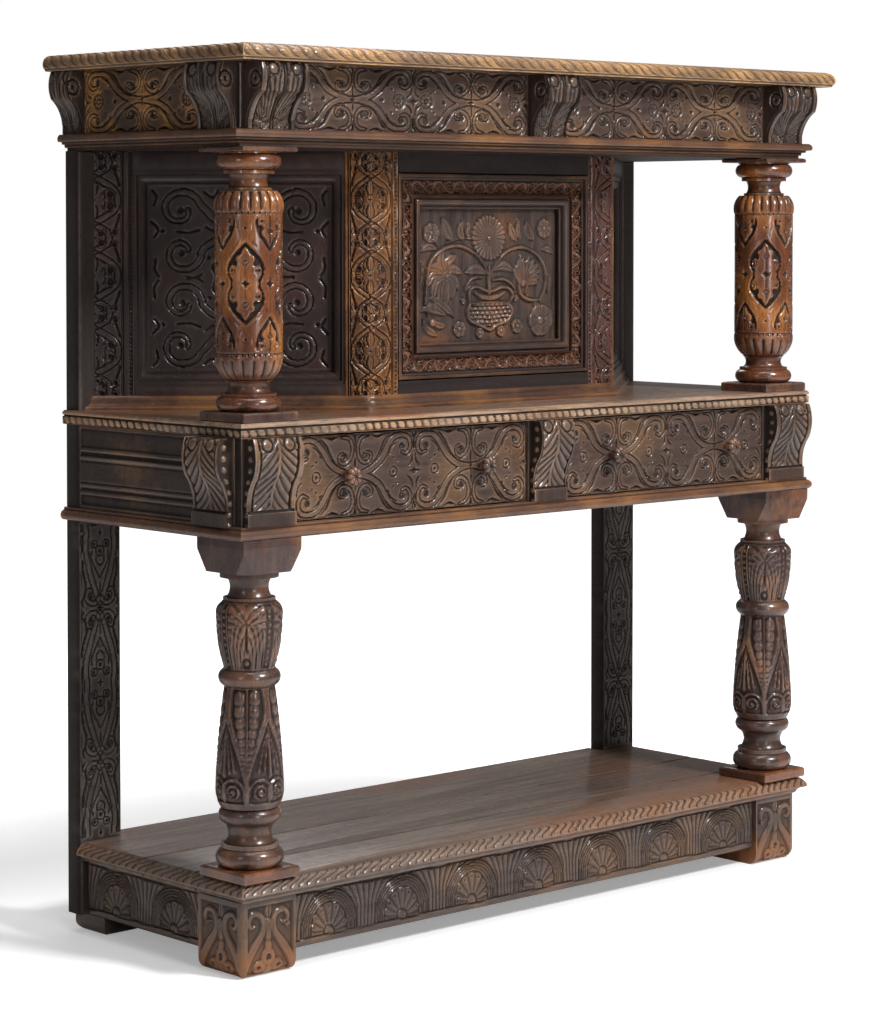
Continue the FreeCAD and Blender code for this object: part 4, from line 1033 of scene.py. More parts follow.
def makeShelf():
    shelf = {"step": 1.8, "pitch": 15.5, "depth": 2.2}
    low, high = boxOf("middle_shelf")
    profile = outline([(-4, 0), (-1, 0.6), (-0.6, 1.6), (-0.2, 11.2), (-3, 12), (-3, 13.4), (-0.4, 14.2, 0.4),
                       (-0.8, 17.8), (-3, 20)], 6)
    relief = slantedBeads(shelf["pitch"], shelf["depth"], 3.6, 15.2)
    corners = notchedCorners(low, high, boxOf("right_rear_post"), True)
    moulded = (True, True) + (False,) * (len(corners) - 3) + (True,)
    piece = sweptPiece("middle_shelf_moulded", corners, profile + (0, low[2]), moulded,
                       relief, shelf["step"], rowStep=1.5)
    finishPiece(piece, shelfOakWithSheen, "middle_shelf")


def makePotBoard():
    pot = {"step": 1.9, "pitch": 16.0, "slope": -0.8, "depth": 2.2, "joint": 0.16}
    profile = outline([(-15, 0), (-14, 1, -0.3), (-4, 9.4), (-1.5, 9.8), (-1, 11.4), (-0.4, 11.8, 0.3),
                       (-14, 25.6), (-16, 27)], 10)
    length = respace(profile, 1.2)[1][-1]
    relief = edgeLeaves(pot["pitch"], pot["slope"], pot["depth"], 19.0, length - 2.0)
    for name in ("front", "middle", "back"):
        low, high = boxOf(f"{name}_pot_plank")
        corners, moulded = rectangle(low, high), (pot["joint"], True, pot["joint"], True)
        if name == "front":
            moulded = (True,) + moulded[1:]
        if name == "back":
            corners = notchedCorners(low, high, boxOf("right_rear_post"), False)
            moulded = moulded[:2] + (False,) * (len(corners) - 3) + (True,)
        piece = sweptPiece(f"{name}_pot_board", corners, profile + (0, low[2]), moulded, relief, pot["step"],
                           rowStep=1.6)
        finishPiece(piece, boardOakWithSheen, f"{name}_pot_plank")


# the plinth: rails carved with lunettes, and strap-carved feet
def lunetteTile(pitch, tall):  # half of a lunette: u from its middle line out
    tile = newTile(pitch, tall, 0.0)
    u, v = tile["u"], tile["v"]
    base, stilt, outer, fine = 9.0, 12.0, 50.0, 4.2
    away = np.hypot(u, np.maximum(v - base - stilt, 0))
    centre = base + 3.0
    angle, fan = np.arctan2(v - centre, u), np.hypot(u, v - centre)
    arches = -0.3 - 2.2 * np.abs(np.cos((outer - away) / fine * math.pi)) ** 1.5
    lobe = np.abs(np.cos((angle - math.pi / 2) * 7.5)) ** 0.6
    room = outer - 4 * fine - away
    shell = -0.7 - 2.0 * (1 - lobe) - 0.8 * np.clip(fan / 40, 0, 1) ** 2
    cut = np.where(room > 4.5 - 3.0 * lobe, shell, -3.8)
    cut = np.where(room < 0.6, arches, cut)
    spread = (pitch - u) / (3.2 + 0.05 * np.clip(v - 40, 0, 40) ** 1.2)
    lines = -2.8 + 2.5 * np.abs(np.cos(spread * math.pi * 0.5)) ** 0.7
    cut = np.where(away > outer + 1.2, lines, cut)
    cut = np.where((away > outer - 0.2) & (away < outer + 1.6), -3.0, cut)
    cut = np.where((fan < 10.5) & (room > 0), -3.0, cut)
    cut = np.where(fan < 8.5, -0.4 - 1.6 * (fan / 8.5) ** 4, cut)
    cut = np.where(v > tall - 4.5, -0.5, cut)
    cut = np.where(np.abs(v - tall + 5.2) < 0.9, -2.6, cut)
    cut = np.where(v < base, 0, cut)
    tile["cut"] = np.where(np.abs(v - base) < 0.9, -2.8, cut)
    for number in range(8):
        spot = math.radians(6 + number * 12)
        reach = 26.0 + 9.0 * math.sin(spot)
        pit(tile, (reach * math.cos(spot), centre + reach * math.sin(spot)), (1.9, 1.9), 3.8)
    return tile


def makePlinthRails():
    rail = {"arches": 7, "sideArches": 2, "step": 1.6}
    low, high = boxOf("front_base_rail")
    foot = boxOf("front_feet", 1)
    place = face(np.array([-foot[0][0], low[1], low[2]]), np.array([foot[0][0], high[1], high[2]]), "front")
    pitch = place["width"] / rail["arches"] / 2
    tile = lunetteTile(pitch, place["height"])

    def relief(u, v):
        u, v = handWobble(u, v, 0.7, 51)
        return heightAt(tile, fold(u - pitch, pitch), v)

    piece = carvedBoard("front_base_rail_carved", place, relief, rail["step"])
    finishPiece(piece, plinthOak, "front_base_rail")
    for side, way in sides:
        place = face(*boxOf("side_base_rails", way), side)
        sidePitch = place["width"] / rail["sideArches"] / 2
        sideTile = lunetteTile(sidePitch, place["height"])

        def sideRelief(u, v):
            u, v = handWobble(u, v, 0.7, 51)
            return heightAt(sideTile, fold(u - sidePitch, sidePitch), v)

        piece = carvedBoard(f"{side}_base_rail_carved", place, sideRelief, rail["step"])
        finishPiece(piece, plinthOakDeep, "side_base_rails")


def footTile(wide, tall):  # half of a foot's face: u from its middle line out
    tile = newTile(wide, tall, -2.9)
    band(tile, np.array([(wide, 0), (wide, tall)]), 11, 0, 1.4)
    band(tile, np.array([(0, tall), (wide, tall)]), 8, 0, 1.4)
    strap = curve([(48, 2), (39, 24), (26, 44), (12, 62), (8, 76), (14, 88), (27, 91), (34, 82), (30, 73),
                   (23, 75)])
    band(tile, strap, (16, 15, 14, 14, 12, 11, 10, 9, 8, 5), 0, 1.8)
    band(tile, np.array([(0, 58), (0, 78)]), 11, 0, 1.4)
    leaf(tile, curve([(0, 104), (0, 93), (0, 82)]), 14, -0.3)
    boss(tile, (0, 30), (12, 13), 0.0, steep=0.25)
    boss(tile, (0, 45), (6, 10), -0.2, steep=0.3)
    boss(tile, (15, 17), (11, 10), 0.0, steep=0.25)
    boss(tile, (0, 10), (9, 10), -0.1, steep=0.3)
    pit(tile, (0, 30), (4.8, 5.0), 4.0)
    pit(tile, (17, 17), (3.8, 3.6), 3.6)
    tile["ground"] = -9
    boss(tile, (0, 30), (2.2, 2.2), -0.8)
    tile["ground"] = -2.9
    band(tile, np.array([(0, 2), (wide, 2)]), 10, 0, 1.4)
    return tile


def scuffBelow(piece, level):  # the wood is worn bare towards the floor
    scuffWhere(piece, lambda place: (level - place[:, 2]) / level)


def scuffWhere(piece, share):  # bare wood where the share, worked out from the place in mm, is high
    place = np.empty(len(piece.data.vertices) * 3)
    piece.data.vertices.foreach_get("co", place)
    layer = piece.data.attributes.new("scuff", "FLOAT", "POINT")
    layer.data.foreach_set("value", np.clip(share(place.reshape(-1, 3) / mm), 0, 1).astype(np.float32))


def makeFeet():
    foot = {"step": 1.6, "round": 15.0, "rearRound": 13.0, "wornTo": 60.0, "arris": 10.0}
    for side, way in sides:
        low, high = boxOf("front_feet", way)
        half = (high[0] - low[0]) / 2
        tall = high[2] - low[2]
        tile = footTile(half, tall)
        profile = outline([(-foot["round"], 0, 0.36), (0, foot["round"]), (0, tall)], 10)
        corners = rectangle(low, high)
        at = 0 if side == "left" else 1  # the corner that stands outermost
        arris = roundedArris(corners[at], math.pi * (1 + at / 2), foot["arris"])
        corners = corners[:at] + arris + corners[at + 1:]
        turned = (1.0,) * (len(arris) - 1)
        moulded = (True,) * at + turned + (True, False, False, True)[:4 - at]
        afterArris = at + len(turned)

        def relief(u, s, run):
            u = u + foot["arris"] * (run == afterArris)
            return heightAt(tile, np.abs(u - half), s - 3.0)

        piece = sweptPiece(f"{side}_front_foot", corners, profile, moulded, relief,
                           foot["step"], rowStep=foot["step"])
        scuffBelow(piece, foot["wornTo"])
        finishPiece(piece, footOak, "front_feet")
        low, high = boxOf("rear_feet", way)
        profile = outline([(-foot["rearRound"], 0, 0.36), (0, foot["rearRound"]), (0, high[2] - low[2])], 8)
        piece = sweptPiece(f"{side}_rear_foot", rectangle(low, high), profile, (True,) * 4, None, 3.0,
                           rowStep=foot["step"])
        finishPiece(piece, plinthOakDeep, "rear_feet")


# strap-carved rear posts
def postTile(wide, unit):  # half of a post, cut flat: u from its middle line out, v from star to star
    tile = newTile(wide, unit, 0.0)
    strap = curve([(22, -6), (24.5, 12), (24, 30), (19, 52), (11, 76), (5, 92), (0, 101)])
    edges(tile, strap, (8, 9, 9, 9, 9, 8, 8), 2.2, 3.2)
    hook = curve([(0, 92), (9, 101), (19, 99), (24, 90), (20, 82), (14, 84)])
    edges(tile, hook, (7, 7, 7, 7, 6, 5), 1.9, 3.0)
    star(tile, (0, 0), (6, 6.5), 4.2)
    star(tile, (0, unit), (6, 6.5), 4.2)
    pit(tile, (0, 26), (3.4, 3.6), 3.6)
    ring(tile, (0, 26), 7.2, 1.9, 2.8)
    ring(tile, (10.5, 16), 5.6, 1.8, 2.6)
    pit(tile, (11, 16), (2.6, 2.8), 3.4)
    pit(tile, (15, 92), (3.4, 4.0), 3.8)
    for points, size in (
            ([(7, 34), (6, 42), (0, 47)], 2.0), ([(14, 26), (15, 36), (11, 46), (5, 56), (0, 66)], 2.4),
            ([(31, 40), (29, 58), (24, 76), (27, 92)], 4.4), ([(31, 2), (32, 14), (30, 26)], 3.4),
            ([(0, 72), (0, 78), (0, 84)], 2.8), ([(29, 104), (31, 98), (30, 92)], 3.0)):
        groove(tile, curve(points), size, 3.4)
    groove(tile, np.array([(wide - 3.2, -5), (wide - 3.2, unit + 5)]), 1.4, 1.6)
    return tile


def makePosts():
    post = {"unit": 108.0, "centre": 356.0, "from": 136.0, "to": 586.0, "step": 1.7}
    for side, way in sides:
        low, high = boxOf(f"{side}_rear_post")
        half = (high[0] - low[0]) / 2
        tile = postTile(half, post["unit"])

        def relief(u, v):
            u, v = handWobble(u, v, 0.5, 43)
            level = v + low[2]
            cut = heightAt(tile, np.abs(u - half), fold(level - post["centre"], post["unit"]))
            return np.where((level > post["from"]) & (level < post["to"]), cut, 0)

        place = face(low, high, "front")
        piece = carvedBoard(f"{side}_rear_post_carved", place, relief, post["step"], softEdge=2.0)
        finishPiece(piece, postOak, f"{side}_rear_post")


# turned and carved columns
def memberLine(members):  # a turned profile from its members: height, foot radius, head radius, roundness
    line, level = [], 0.0
    for tall, foot, head, roundness in members:
        line.append((foot, level, roundness))
        level += tall
        line.append((head, level, 0))
    return outline(line, 14)


def upperTile(wide, tall):  # an eighth of the shaft: u from a window's axis to where the straps cross
    half = tall / 2
    tile = newTile(wide, half, -4.6)
    u, v = tile["u"], tile["v"]
    window = np.interp(v, (0, 5, 12, 20, 28, 36, 44, 50, 56), (21, 22, 26, 27.5, 25.5, 20, 12.5, 6, 0))
    gable = np.interp(v, (42, 48, 55, 64, 74, 84, 89, 92), (0, 5, 10.5, 17, 21, 22, 19, 10))
    opening = np.maximum(window - u, gable - (wide - u))
    trefoil = [(-1, -2), (20, -2), (19.5, 4), (21, 7), (24, 11), (25, 17), (23, 23.5), (18, 26), (14, 24),
               (12.5, 28), (15, 32), (13, 37.5), (8, 40), (5, 45), (0, 51), (-1, 51)]
    hanging = [(wide - u, v) for u, v in (
        (-1, half + 4), (19, half + 4), (20, 88), (20, 82), (18, 76.5), (13.5, 77), (12, 73), (14.5, 68.5),
        (12.5, 63), (8.5, 60), (5.5, 56), (3, 51), (0, 47), (-1, 47))]
    for shape in (trefoil, hanging):
        blade(tile, curve(shape, 4), -0.2, 2.2)
    strap = -4.6 * np.clip(opening / 1.3, 0, 1)
    tile["cut"] = np.maximum(tile["cut"], np.where(opening < 1.3, strap, -4.6))
    tile["cut"] = np.where(opening < 0, 0, tile["cut"])
    star(tile, (0, 0), (12, 11), 4.4)
    star(tile, (wide, 0), (11, 12), 4.4)
    for centre in ((0, 28), (wide, 70)):
        ring(tile, centre, 3.6, 1.6, 2.6)
    for centre in ((19.5, 17.5), (wide - 12.5, 83)):
        pit(tile, centre, (2.4, 2.4), 3.4)
        ring(tile, centre, 4.4, 1.2, 1.6)
    star(tile, (0, 74), (3.0, 6.5), 3.4)
    for line in ([(wide - 4, 0), (31.5, 16), (28, 32), (17, 46), (5, 60)], [(5, 62), (10, 72), (11, 84)]):
        groove(tile, curve(line), 1.0, 0.8)
    groove(tile, np.array([(0, half - 1.2), (wide, half - 1.2)]), 2.4, 2.6)
    return tile


def squareSlab(name, low, high, level, drops, material, node):  # a square plinth or abacus with soft edges
    tall = level[1] - level[0]
    edge = outline([(-1.5, 0), (0, 1.2), (0, tall - drops[0]), (-drops[1], tall - drops[2]), (-3.5, tall)], 4)
    piece = sweptPiece(name, rectangle(low, high), edge + (0, level[0]), (True,) * 4, None, 4.0, rowStep=1.5)
    finishPiece(piece, material, node)


upperColumn = {
    "step": 1.6, "domeLobes": 20, "cupLobes": 18, "plinth": 13.5, "abacus": 7.0,
    "foot": ((20.5, 36.2, 36.2, 0.8), (3.5, 37.5, 37.5, 0), (17.5, 32, 32, -0.5), (36.5, 30.5, 46, 0.3)),
    "shaft": 187.5, "shaftRadius": 46.0,
    "head": ((30, 46, 39, 0.3), (4, 31.5, 31.5, 0), (19, 28, 28, -0.3), (6, 35, 35, 0), (21, 36.5, 36.5, 0.8),
             (2, 40, 40, 0))}


def makeUpperColumns():
    column = upperColumn
    shaft = ((column["shaft"], column["shaftRadius"], column["shaftRadius"], 0),)
    profile = memberLine(column["foot"] + shaft + column["head"])
    footTop = sum(member[0] for member in column["foot"])
    cupLow = footTop - column["foot"][-1][0]
    shaftTop = footTop + column["shaft"]
    domeTop = shaftTop + column["head"][0][0]
    wide = column["shaftRadius"] * math.pi / 4
    tile = upperTile(wide, column["shaft"])

    def relief(angle, s, section):
        up = section[:, 1][:, None] * np.ones(angle.shape)
        u = fold(angle / (math.pi / 4) * wide + wide, wide)
        level = np.abs(up - footTop - column["shaft"] / 2)
        cut = np.where((up > footTop + 2) & (up < shaftTop - 2), heightAt(tile, u, level), 0)
        dome = np.clip((up - shaftTop - 2) / 6, 0, 1) * (up < domeTop - 0.5)
        lobe = 1 - np.abs(np.sin(angle * column["domeLobes"] / 2)) ** 0.6
        cut = cut - 3.2 * dome * lobe
        cup = np.clip((footTop - 6 - up) / 5, 0, 1) * np.clip((up - cupLow) / 5, 0, 1)
        cut = cut - 3.0 * cup * (1 - np.abs(np.sin(angle * column["cupLobes"] / 2)) ** 0.6)
        for level, size in ((footTop - 2, 2.6), (shaftTop + 0.5, 1.8)):
            off = np.abs(up - level)
            bead = 1 - np.sqrt(np.clip(1 - (off / size) ** 2, 0, 1)) * np.abs(np.sin(angle * 36)) ** 0.5
            cut = cut - np.where(off < size, 2.2 * bead, 0)
        return cut

    for side, way in sides:
        low, high = boxOf(f"{side}_upper_column")
        centre = ((low[0] + high[0]) / 2, (low[1] + high[1]) / 2)
        plinthTop, abacusLow = low[2] + column["plinth"], high[2] - column["abacus"]
        piece = turnedPiece(f"{side}_upper_shaft", centre, plinthTop, profile, relief, column["step"],
                            column["shaftRadius"])
        finishPiece(piece, turnedOrange, f"{side}_upper_column")
        for name, level in (("plinth", (low[2], plinthTop)), ("abacus", (abacusLow, high[2]))):
            squareSlab(f"{side}_upper_{name}", low, high, level, (2.2, 1.8, 0.4), turnedDark,
                       f"{side}_upper_column")


def lancetTile(wide, tall):  # an eighth of the flared body: u from a stem out to where the lancets rise
    tile = newTile(wide, tall, -2.8)
    share = wide / 34.0

    def line(*points):
        return curve([(u * share, v) for u, v in points], 6)

    band(tile, line((0, 0), (0, 24), (0, 44)), (8, 9, 8), 0, 1.8)
    strap = line((1, 34), (6, 56), (14, 78), (23, 98), (30, 114), (33, 128), (34, tall))
    band(tile, strap, (7, 9, 9.5, 10, 11, 15, 18), 0, 2.0)
    edges(tile, line((3, 44), (13, 74), (24, 98), (27, 116), (26, tall)), 1.6, 1.4, 1.0)
    for number, level in enumerate((54, 62, 71, 82, 94, 108, 124, 141)):
        size = 3.0 + number * 1.05
        centre = ((2.8 + number * 1.5) * share, level)
        pit(tile, centre, (size + 0.8, size * 1.15), 2.6)
        boss(tile, (centre[0], level + 1.2), (size * 0.96, size * 1.12), -0.1, steep=0.4)
    band(tile, line((0, 40), (0, 90), (0, tall)), (5, 3.4, 4.0), -0.3, 1.3)
    for points, size in ((((33.5, 104), (33.5, 70), (33.5, 38)), (2, 5, 6)),
                         (((32, 98), (28, 70), (24.5, 42)), (1.5, 4, 5)),
                         (((28, 88), (21, 64), (17, 44)), (1.5, 3.5, 4.5))):
        band(tile, line(*points), size, -0.4, 1.5)
    band(tile, coil((20 * share, 17), (16.5, 15.5), (196, -30), 20), (2.5, 4.5, 5, 4.5, 3), -0.1, 1.6)
    band(tile, coil((20 * share, 17), (10.5, 3.5), (250, -200), 26), (4, 4.5, 4, 3), -0.1, 1.5)
    boss(tile, (20 * share, 17), (3.4, 3.4), -0.2)
    leaf(tile, line((34, 0), (34, 14), (34, 30)), 11, -0.4)
    return tile


def bulbTile(wide, tall):  # an eighth of the bulb: half an acanthus leaf, and half a strip of beads
    tile = newTile(wide, tall, -2.8)
    u, v = tile["u"], tile["v"]
    arch = np.hypot(u / 15.5, np.clip(v - 14, 0, None) / 54.0)
    rib = np.abs(np.sin((arch * 3.1 + 0.1) * math.pi)) ** 0.55
    fan = np.arctan2(v - 58, np.maximum(u, 0.1)) * 5.2 + 0.12 * v
    tip = np.abs(np.sin(fan)) ** 0.55
    upper = np.clip((v - 64 + 0.45 * u) / 4, 0, 1)
    carved = -0.3 - 2.0 * (1 - rib * (1 - upper) - tip * upper)
    curl = np.abs(np.sin((v - 0.8 * u) / 12.5 * math.pi)) ** 0.5
    carved = carved - 1.1 * (1 - curl) * np.clip((v - 34) / 12, 0, 1) * (1 - upper) * np.clip(u / 6, 0, 1)
    tile["cut"] = np.where((u < 27) & (v > 2), carved, -0.4)
    tile["cut"] = np.where(np.abs(u - 27.6) < 0.9, -2.2, tile["cut"])
    groove(tile, curve([(0, 18), (0, 34), (0, 52), (0, 68)]), (0.6, 4.0, 5.0, 3.4, 0.6), 2.9)
    pit(tile, (0, 9), (9.5, 9.5), 3.2)
    tile["ground"] = -9
    boss(tile, (0, 9), (6.2, 6.4), -0.1)
    boss(tile, (0, 72), (4.2, 5.5), 0.0)
    for centre, size, turn in (((9, tall - 13), (6.5, 4.0), 35), ((19, tall - 17), (6.5, 3.8), 50),
                               ((13, tall - 25), (6.0, 3.2), 40)):
        boss(tile, centre, size, 0.0, turn, steep=0.4)
    tile["cut"] = np.where(wide - u < 4.6, -2.4, tile["cut"])
    for number in range(9):
        boss(tile, (wide, 7 + number * 9.2), (3.8, 4.4), -0.1)
    return tile


lowerColumn = {
    "step": 2.1, "widest": 46,
    "foot": ((26, 36.7, 36.7, 0.75), (6, 39, 39, 0), (27, 35, 35, -0.42), (22, 34.5, 34.5, 0.75),
             (26, 40, 46.5, 0.15)),
    "body": ((137, 46.5, 35, 0.03),), "waist": ((24, 34, 34, 0.7),),
    "bulb": ((71, 35, 45.5, 0.08), (20, 45.5, 35.5, 0.35)),
    "head": ((5, 35.5, 35.5, 0), (27, 31, 31, -0.35), (8, 40, 40, 0))}


def makeLowerColumns():
    column = lowerColumn
    parts = ("foot", "body", "waist", "bulb", "head")
    profile = memberLine(sum((column[part] for part in parts), ()))
    tops = np.cumsum([sum(member[0] for member in column[part]) for part in parts])
    bodyLow, bodyTop, bulbLow, bulbTop = tops[0] - column["foot"][-1][0] * 0.7, tops[1], tops[2], tops[3]
    wide = 34.0
    body = lancetTile(wide, bodyTop - bodyLow)
    bulb = bulbTile(wide, bulbTop - bulbLow)

    def relief(angle, s, section):
        up = section[:, 1][:, None] * np.ones(angle.shape)
        u = fold(angle / (math.pi / 4) * wide + wide, wide)
        inBody = (up > bodyLow + 1) & (up < bodyTop - 1)
        inBulb = (up > bulbLow + 1) & (up < bulbTop - 1)
        cut = np.where(inBody, heightAt(body, u, up - bodyLow), 0)
        return np.where(inBulb, heightAt(bulb, u, up - bulbLow), cut)

    for side, way in sides:
        low, high = boxOf(f"{side}_lower_column")
        centre = ((low[0] + high[0]) / 2, (low[1] + high[1]) / 2)
        piece = turnedPiece(f"{side}_lower_shaft", centre, low[2], profile, relief, column["step"],
                            column["widest"])
        finishPiece(piece, turnedDark, f"{side}_lower_column")
        low, high = boxOf("lower_plinths", way)
        squareSlab(f"{side}_lower_plinth", low, high, (low[2], high[2]), (3, 1.5, 1), turnedWarm,
                   "lower_plinths")


# the cupboard: stiles, canted sides, door
def vineTile(wide, unit):  # straps that cross at the arris, u = 0, and loop round drilled eyes
    tile = newTile(wide, unit, 0.0)
    reach = min(wide - 9.0, 38.0)
    share = reach / 38.0
    crossing = 0.39 * unit
    small = curve([(0, crossing - 2), (9 * share, crossing * 0.72), (19 * share, crossing * 0.42),
                   (22.5 * share, 0), (22.5 * share, -4)])
    large = curve([(0, crossing), (12 * share, crossing + 6), (25 * share, crossing + 14),
                   (33 * share, crossing + 24), (34.5 * share, unit + 3)])
    for strap in (small, large):
        edges(tile, strap, 9.0 * share, 2.0, 3.0)
    for centre, radii, depth in (
            ((11 * share, 7), (4.2 * share, 5.2), 4.4), ((24 * share, crossing + 24), (4.6, 5.6), 4.4),
            ((30 * share, 9), (3.6 * share, 5.4), 4.0)):
        pit(tile, centre, radii, depth)
        ring(tile, centre, radii[0] + 3.2, 1.4, 1.8)
    tile["ground"] = -9
    for centre in ((11 * share, 6), (24 * share, crossing + 25)):
        boss(tile, centre, (1.8, 2.2), -1.6)
    tile["ground"] = 0.0
    for centre in ((0, 0), (0, unit)):
        star(tile, centre, (4.6, 5.6), 4.4)
    for line, size, depth in (
            ([(4.2, crossing + 8), (6.4, crossing + 16), (3.6, crossing + 26)], 1.8, 3.0),
            ([(31 * share, crossing - 6), (35 * share, crossing + 4), (37 * share, crossing + 12)], 4.0, 3.2),
            ([(12 * share, crossing + 26), (16 * share, crossing + 18), (13 * share, crossing + 12)], 1.6,
             2.4),
            ([(15 * share, unit), (17 * share, unit - 6), (13 * share, unit - 12)], 1.6, 2.4)):
        groove(tile, curve(line), size, depth)
    pit(tile, (0, crossing + 3), (2.2, 4.5), 3.0)
    for off in (reach + 1.6, reach + 4.4):
        groove(tile, np.array([(off, -5), (off, unit + 5)]), 1.5, 2.4)
    if wide > 45:
        groove(tile, np.array([(wide - 4.6, -5), (wide - 4.6, unit + 5)]), 6.4, 2.4)
        tile["ground"] = -9
        for number in range(int(unit / 6.0) + 1):
            boss(tile, (wide - 4.6, 3.0 + number * 6.0), (2.3, 2.5), -0.1)
    return tile


stile = {"unit": 54.0, "start": 29.0, "step": 1.3, "cantStep": 1.5, "inner": 195.0, "arris": 248.0}


def makeStiles():
    wide = stile["arris"] - stile["inner"]
    tile = vineTile(wide, stile["unit"])
    for side, way in sides:
        low, high = boxOf("bay_stiles", way)
        low[0], high[0] = sorted((way * stile["inner"], way * stile["arris"]))

        def relief(u, v):
            u, v = handWobble(u, v, 0.5, 29)
            u = u if side == "left" else wide - u
            return heightAt(tile, u, fold(v - stile["start"], stile["unit"]))

        piece = carvedBoard(f"{side}_bay_stile_carved", face(low, high, "front"), relief, stile["step"])
        finishPiece(piece, stileOak if way < 0 else redStileOak, "bay_stiles")


cant = {"start": (248.0, -76.0), "end": (545.0, 183.0), "thick": 22.0, "frontStile": 37.0, "rearStile": 57.0,
        "railLow": 36.0, "railHigh": 29.0, "moulding": 22.0, "mouldingSet": 3.0, "panelSet": 16.0,
        "panelStep": 1.7}


def cantLine():  # a canted side seen from above: its two ends, and the way from one to the other
    start, end = np.array(cant["start"]), np.array(cant["end"])
    return start, end, (end - start) / np.hypot(*(end - start))


def cantFace(way, first, last, low, high, depth, thick):  # a plane on a canted side, from first to last
    start, _, run = cantLine()
    outward = np.array([run[1], -run[0]])
    spot = start + run * first - outward * depth
    across = np.array([way * run[0], run[1], 0])
    out = np.array([way * outward[0], outward[1], 0])
    return {"origin": (way * spot[0], spot[1], low), "across": across, "out": out,
            "width": last - first, "height": high - low, "thick": thick}


def arabesqueTile(wide, tall):  # a quarter of a canted panel, cut flat, with u and v from its middle
    tile = newTile(wide, tall, 0.0)
    s, t = wide / 100.0, tall / 100.0

    def line(points):
        return curve([(u * s, v * t) for u, v in points], 6)

    def scroll(points, centre, radii, angles):
        hooked = coil(centre, radii, angles, 26)
        return line(points + [tuple(spot) for spot in hooked])

    upper = scroll([(0, 60), (14, 60), (28, 66), (38, 76)], (66, 75), (23, 8), (162, -190))
    lower = scroll([(0, 43), (14, 44), (28, 41), (38, 34)], (64, 28), (22, 8), (178, 520))
    for path in (upper, lower):
        edges(tile, path, (9, 10, 10, 9, 9, 8, 8, 7, 6), 2.3, 2.8)
    for points, size in (
            ([(0, 97), (9, 92), (15, 84), (9, 76), (0, 71)], 2.6),
            ([(0, 33), (8, 26), (13, 14), (9, 0)], 2.6),
            ([(97, 97), (92, 90), (94, 80)], 4.0), ([(98, 62), (91, 54), (95, 46)], 4.4),
            ([(24, 97), (30, 89), (40, 95)], 4.0), ([(44, 54), (56, 50), (70, 51)], 3.4),
            ([(90, 2), (95, 10), (94, 22)], 4.0), ([(24, 22), (30, 12), (26, 0)], 3.8),
            ([(42, 4), (50, 0), (60, 1)], 3.4), ([(20, 52), (30, 53), (38, 58)], 3.2)):
        groove(tile, line(points), size, 3.0)
    for centre, size in (((66, 75), 5.0), ((64, 28), 5.0), ((0, 84), 4.0), ((0, 14), 4.0), ((17, 78), 3.0),
                         ((86, 52), 3.2), ((34, 22), 3.0)):
        pit(tile, (centre[0] * s, centre[1] * t), (size, size), 3.6)
    for centre, size in (((0, 84), 7.5), ((0, 14), 7.5)):
        ring(tile, (centre[0] * s, centre[1] * t), size, 1.8, 2.6)
    star(tile, (0, 0), (7, 7), 4.0)
    star(tile, (0, 52 * t), (7, 6), 4.0)
    return tile


def makeCants():
    low, high = boxOf("left_cant_frame")
    floor, top = low[2], high[2]
    length = math.hypot(cant["end"][0] - cant["start"][0], cant["end"][1] - cant["start"][1])
    rear = length - cant["rearStile"]
    sill, lintel = floor + cant["railLow"], top - cant["railHigh"]
    rearTile = vineTile(cant["rearStile"], stile["unit"])
    frontTile = vineTile(cant["frontStile"], stile["unit"])
    reach = (rear - cant["frontStile"]) / 2
    inside = cant["moulding"]
    halfTall = (lintel - sill) / 2
    panel = arabesqueTile(reach - inside, halfTall - inside)
    for side, way in sides:

        def rearRelief(u, v):
            return heightAt(rearTile, cant["rearStile"] - u, fold(v - stile["start"], stile["unit"]))

        def frontRelief(u, v):
            return heightAt(frontTile, u, fold(v - stile["start"], stile["unit"]))

        def panelRelief(u, v):
            u, v = handWobble(u, v, 0.8, 61)
            off, rise = np.abs(u - reach), np.abs(v - halfTall)
            shown = (off < reach - inside) & (rise < halfTall - inside)
            return np.where(shown, heightAt(panel, off, rise), 0)

        for name, first, last, bottom, head, relief, material in (
                ("rear_stile", rear, length, floor, top, rearRelief, cantOak),
                ("front_stile", 0, cant["frontStile"], floor, top, frontRelief, stileOak),
                ("bottom_rail", cant["frontStile"], rear, floor, sill, None, cantOak),
                ("top_rail", cant["frontStile"], rear, lintel, top, None, cantOak)):
            place = cantFace(way, first, last, bottom, head, 0, cant["thick"])
            piece = carvedBoard(f"{side}_cant_{name}", place, relief, stile["cantStep"] if relief else 6.0)
            finishPiece(piece, material, f"{side}_cant_frame")
        place = cantFace(way, cant["frontStile"], rear, sill, lintel, cant["panelSet"],
                         cant["thick"] - cant["panelSet"])
        piece = carvedBoard(f"{side}_cant_panel_carved", place, panelRelief, cant["panelStep"])
        finishPiece(piece, cantOak, f"{side}_cant_panel")
        place = cantFace(way, cant["frontStile"], rear, sill, lintel, cant["panelSet"], 0)
        deep = cant["panelSet"] - cant["mouldingSet"]
        section = outline([(0, 0), (0, deep), (-4, deep), (-5, deep - 2), (-7, deep - 2.5, 0.35), (-17, 4),
                           (-18, 3), (-cant["moulding"], 2.4), (-cant["moulding"], 0)], 8)
        piece = ringPiece(f"{side}_cant_moulding", place, section, None, 3.0)
        finishPiece(piece, cantOak, "cant_mouldings")


def ringPiece(name, place, section, relief, step, rowStep=1.5):  # a moulding mitred round a panel
    width, height = place["width"], place["height"]
    corners = [(0, 0), (width, 0), (width, height), (0, height)]
    axes = (place["origin"], place["across"], (0, 0, 1), place["out"])
    return sweptPiece(name, corners, section, (True,) * 4, relief, step, rowStep, axes, closed=True)


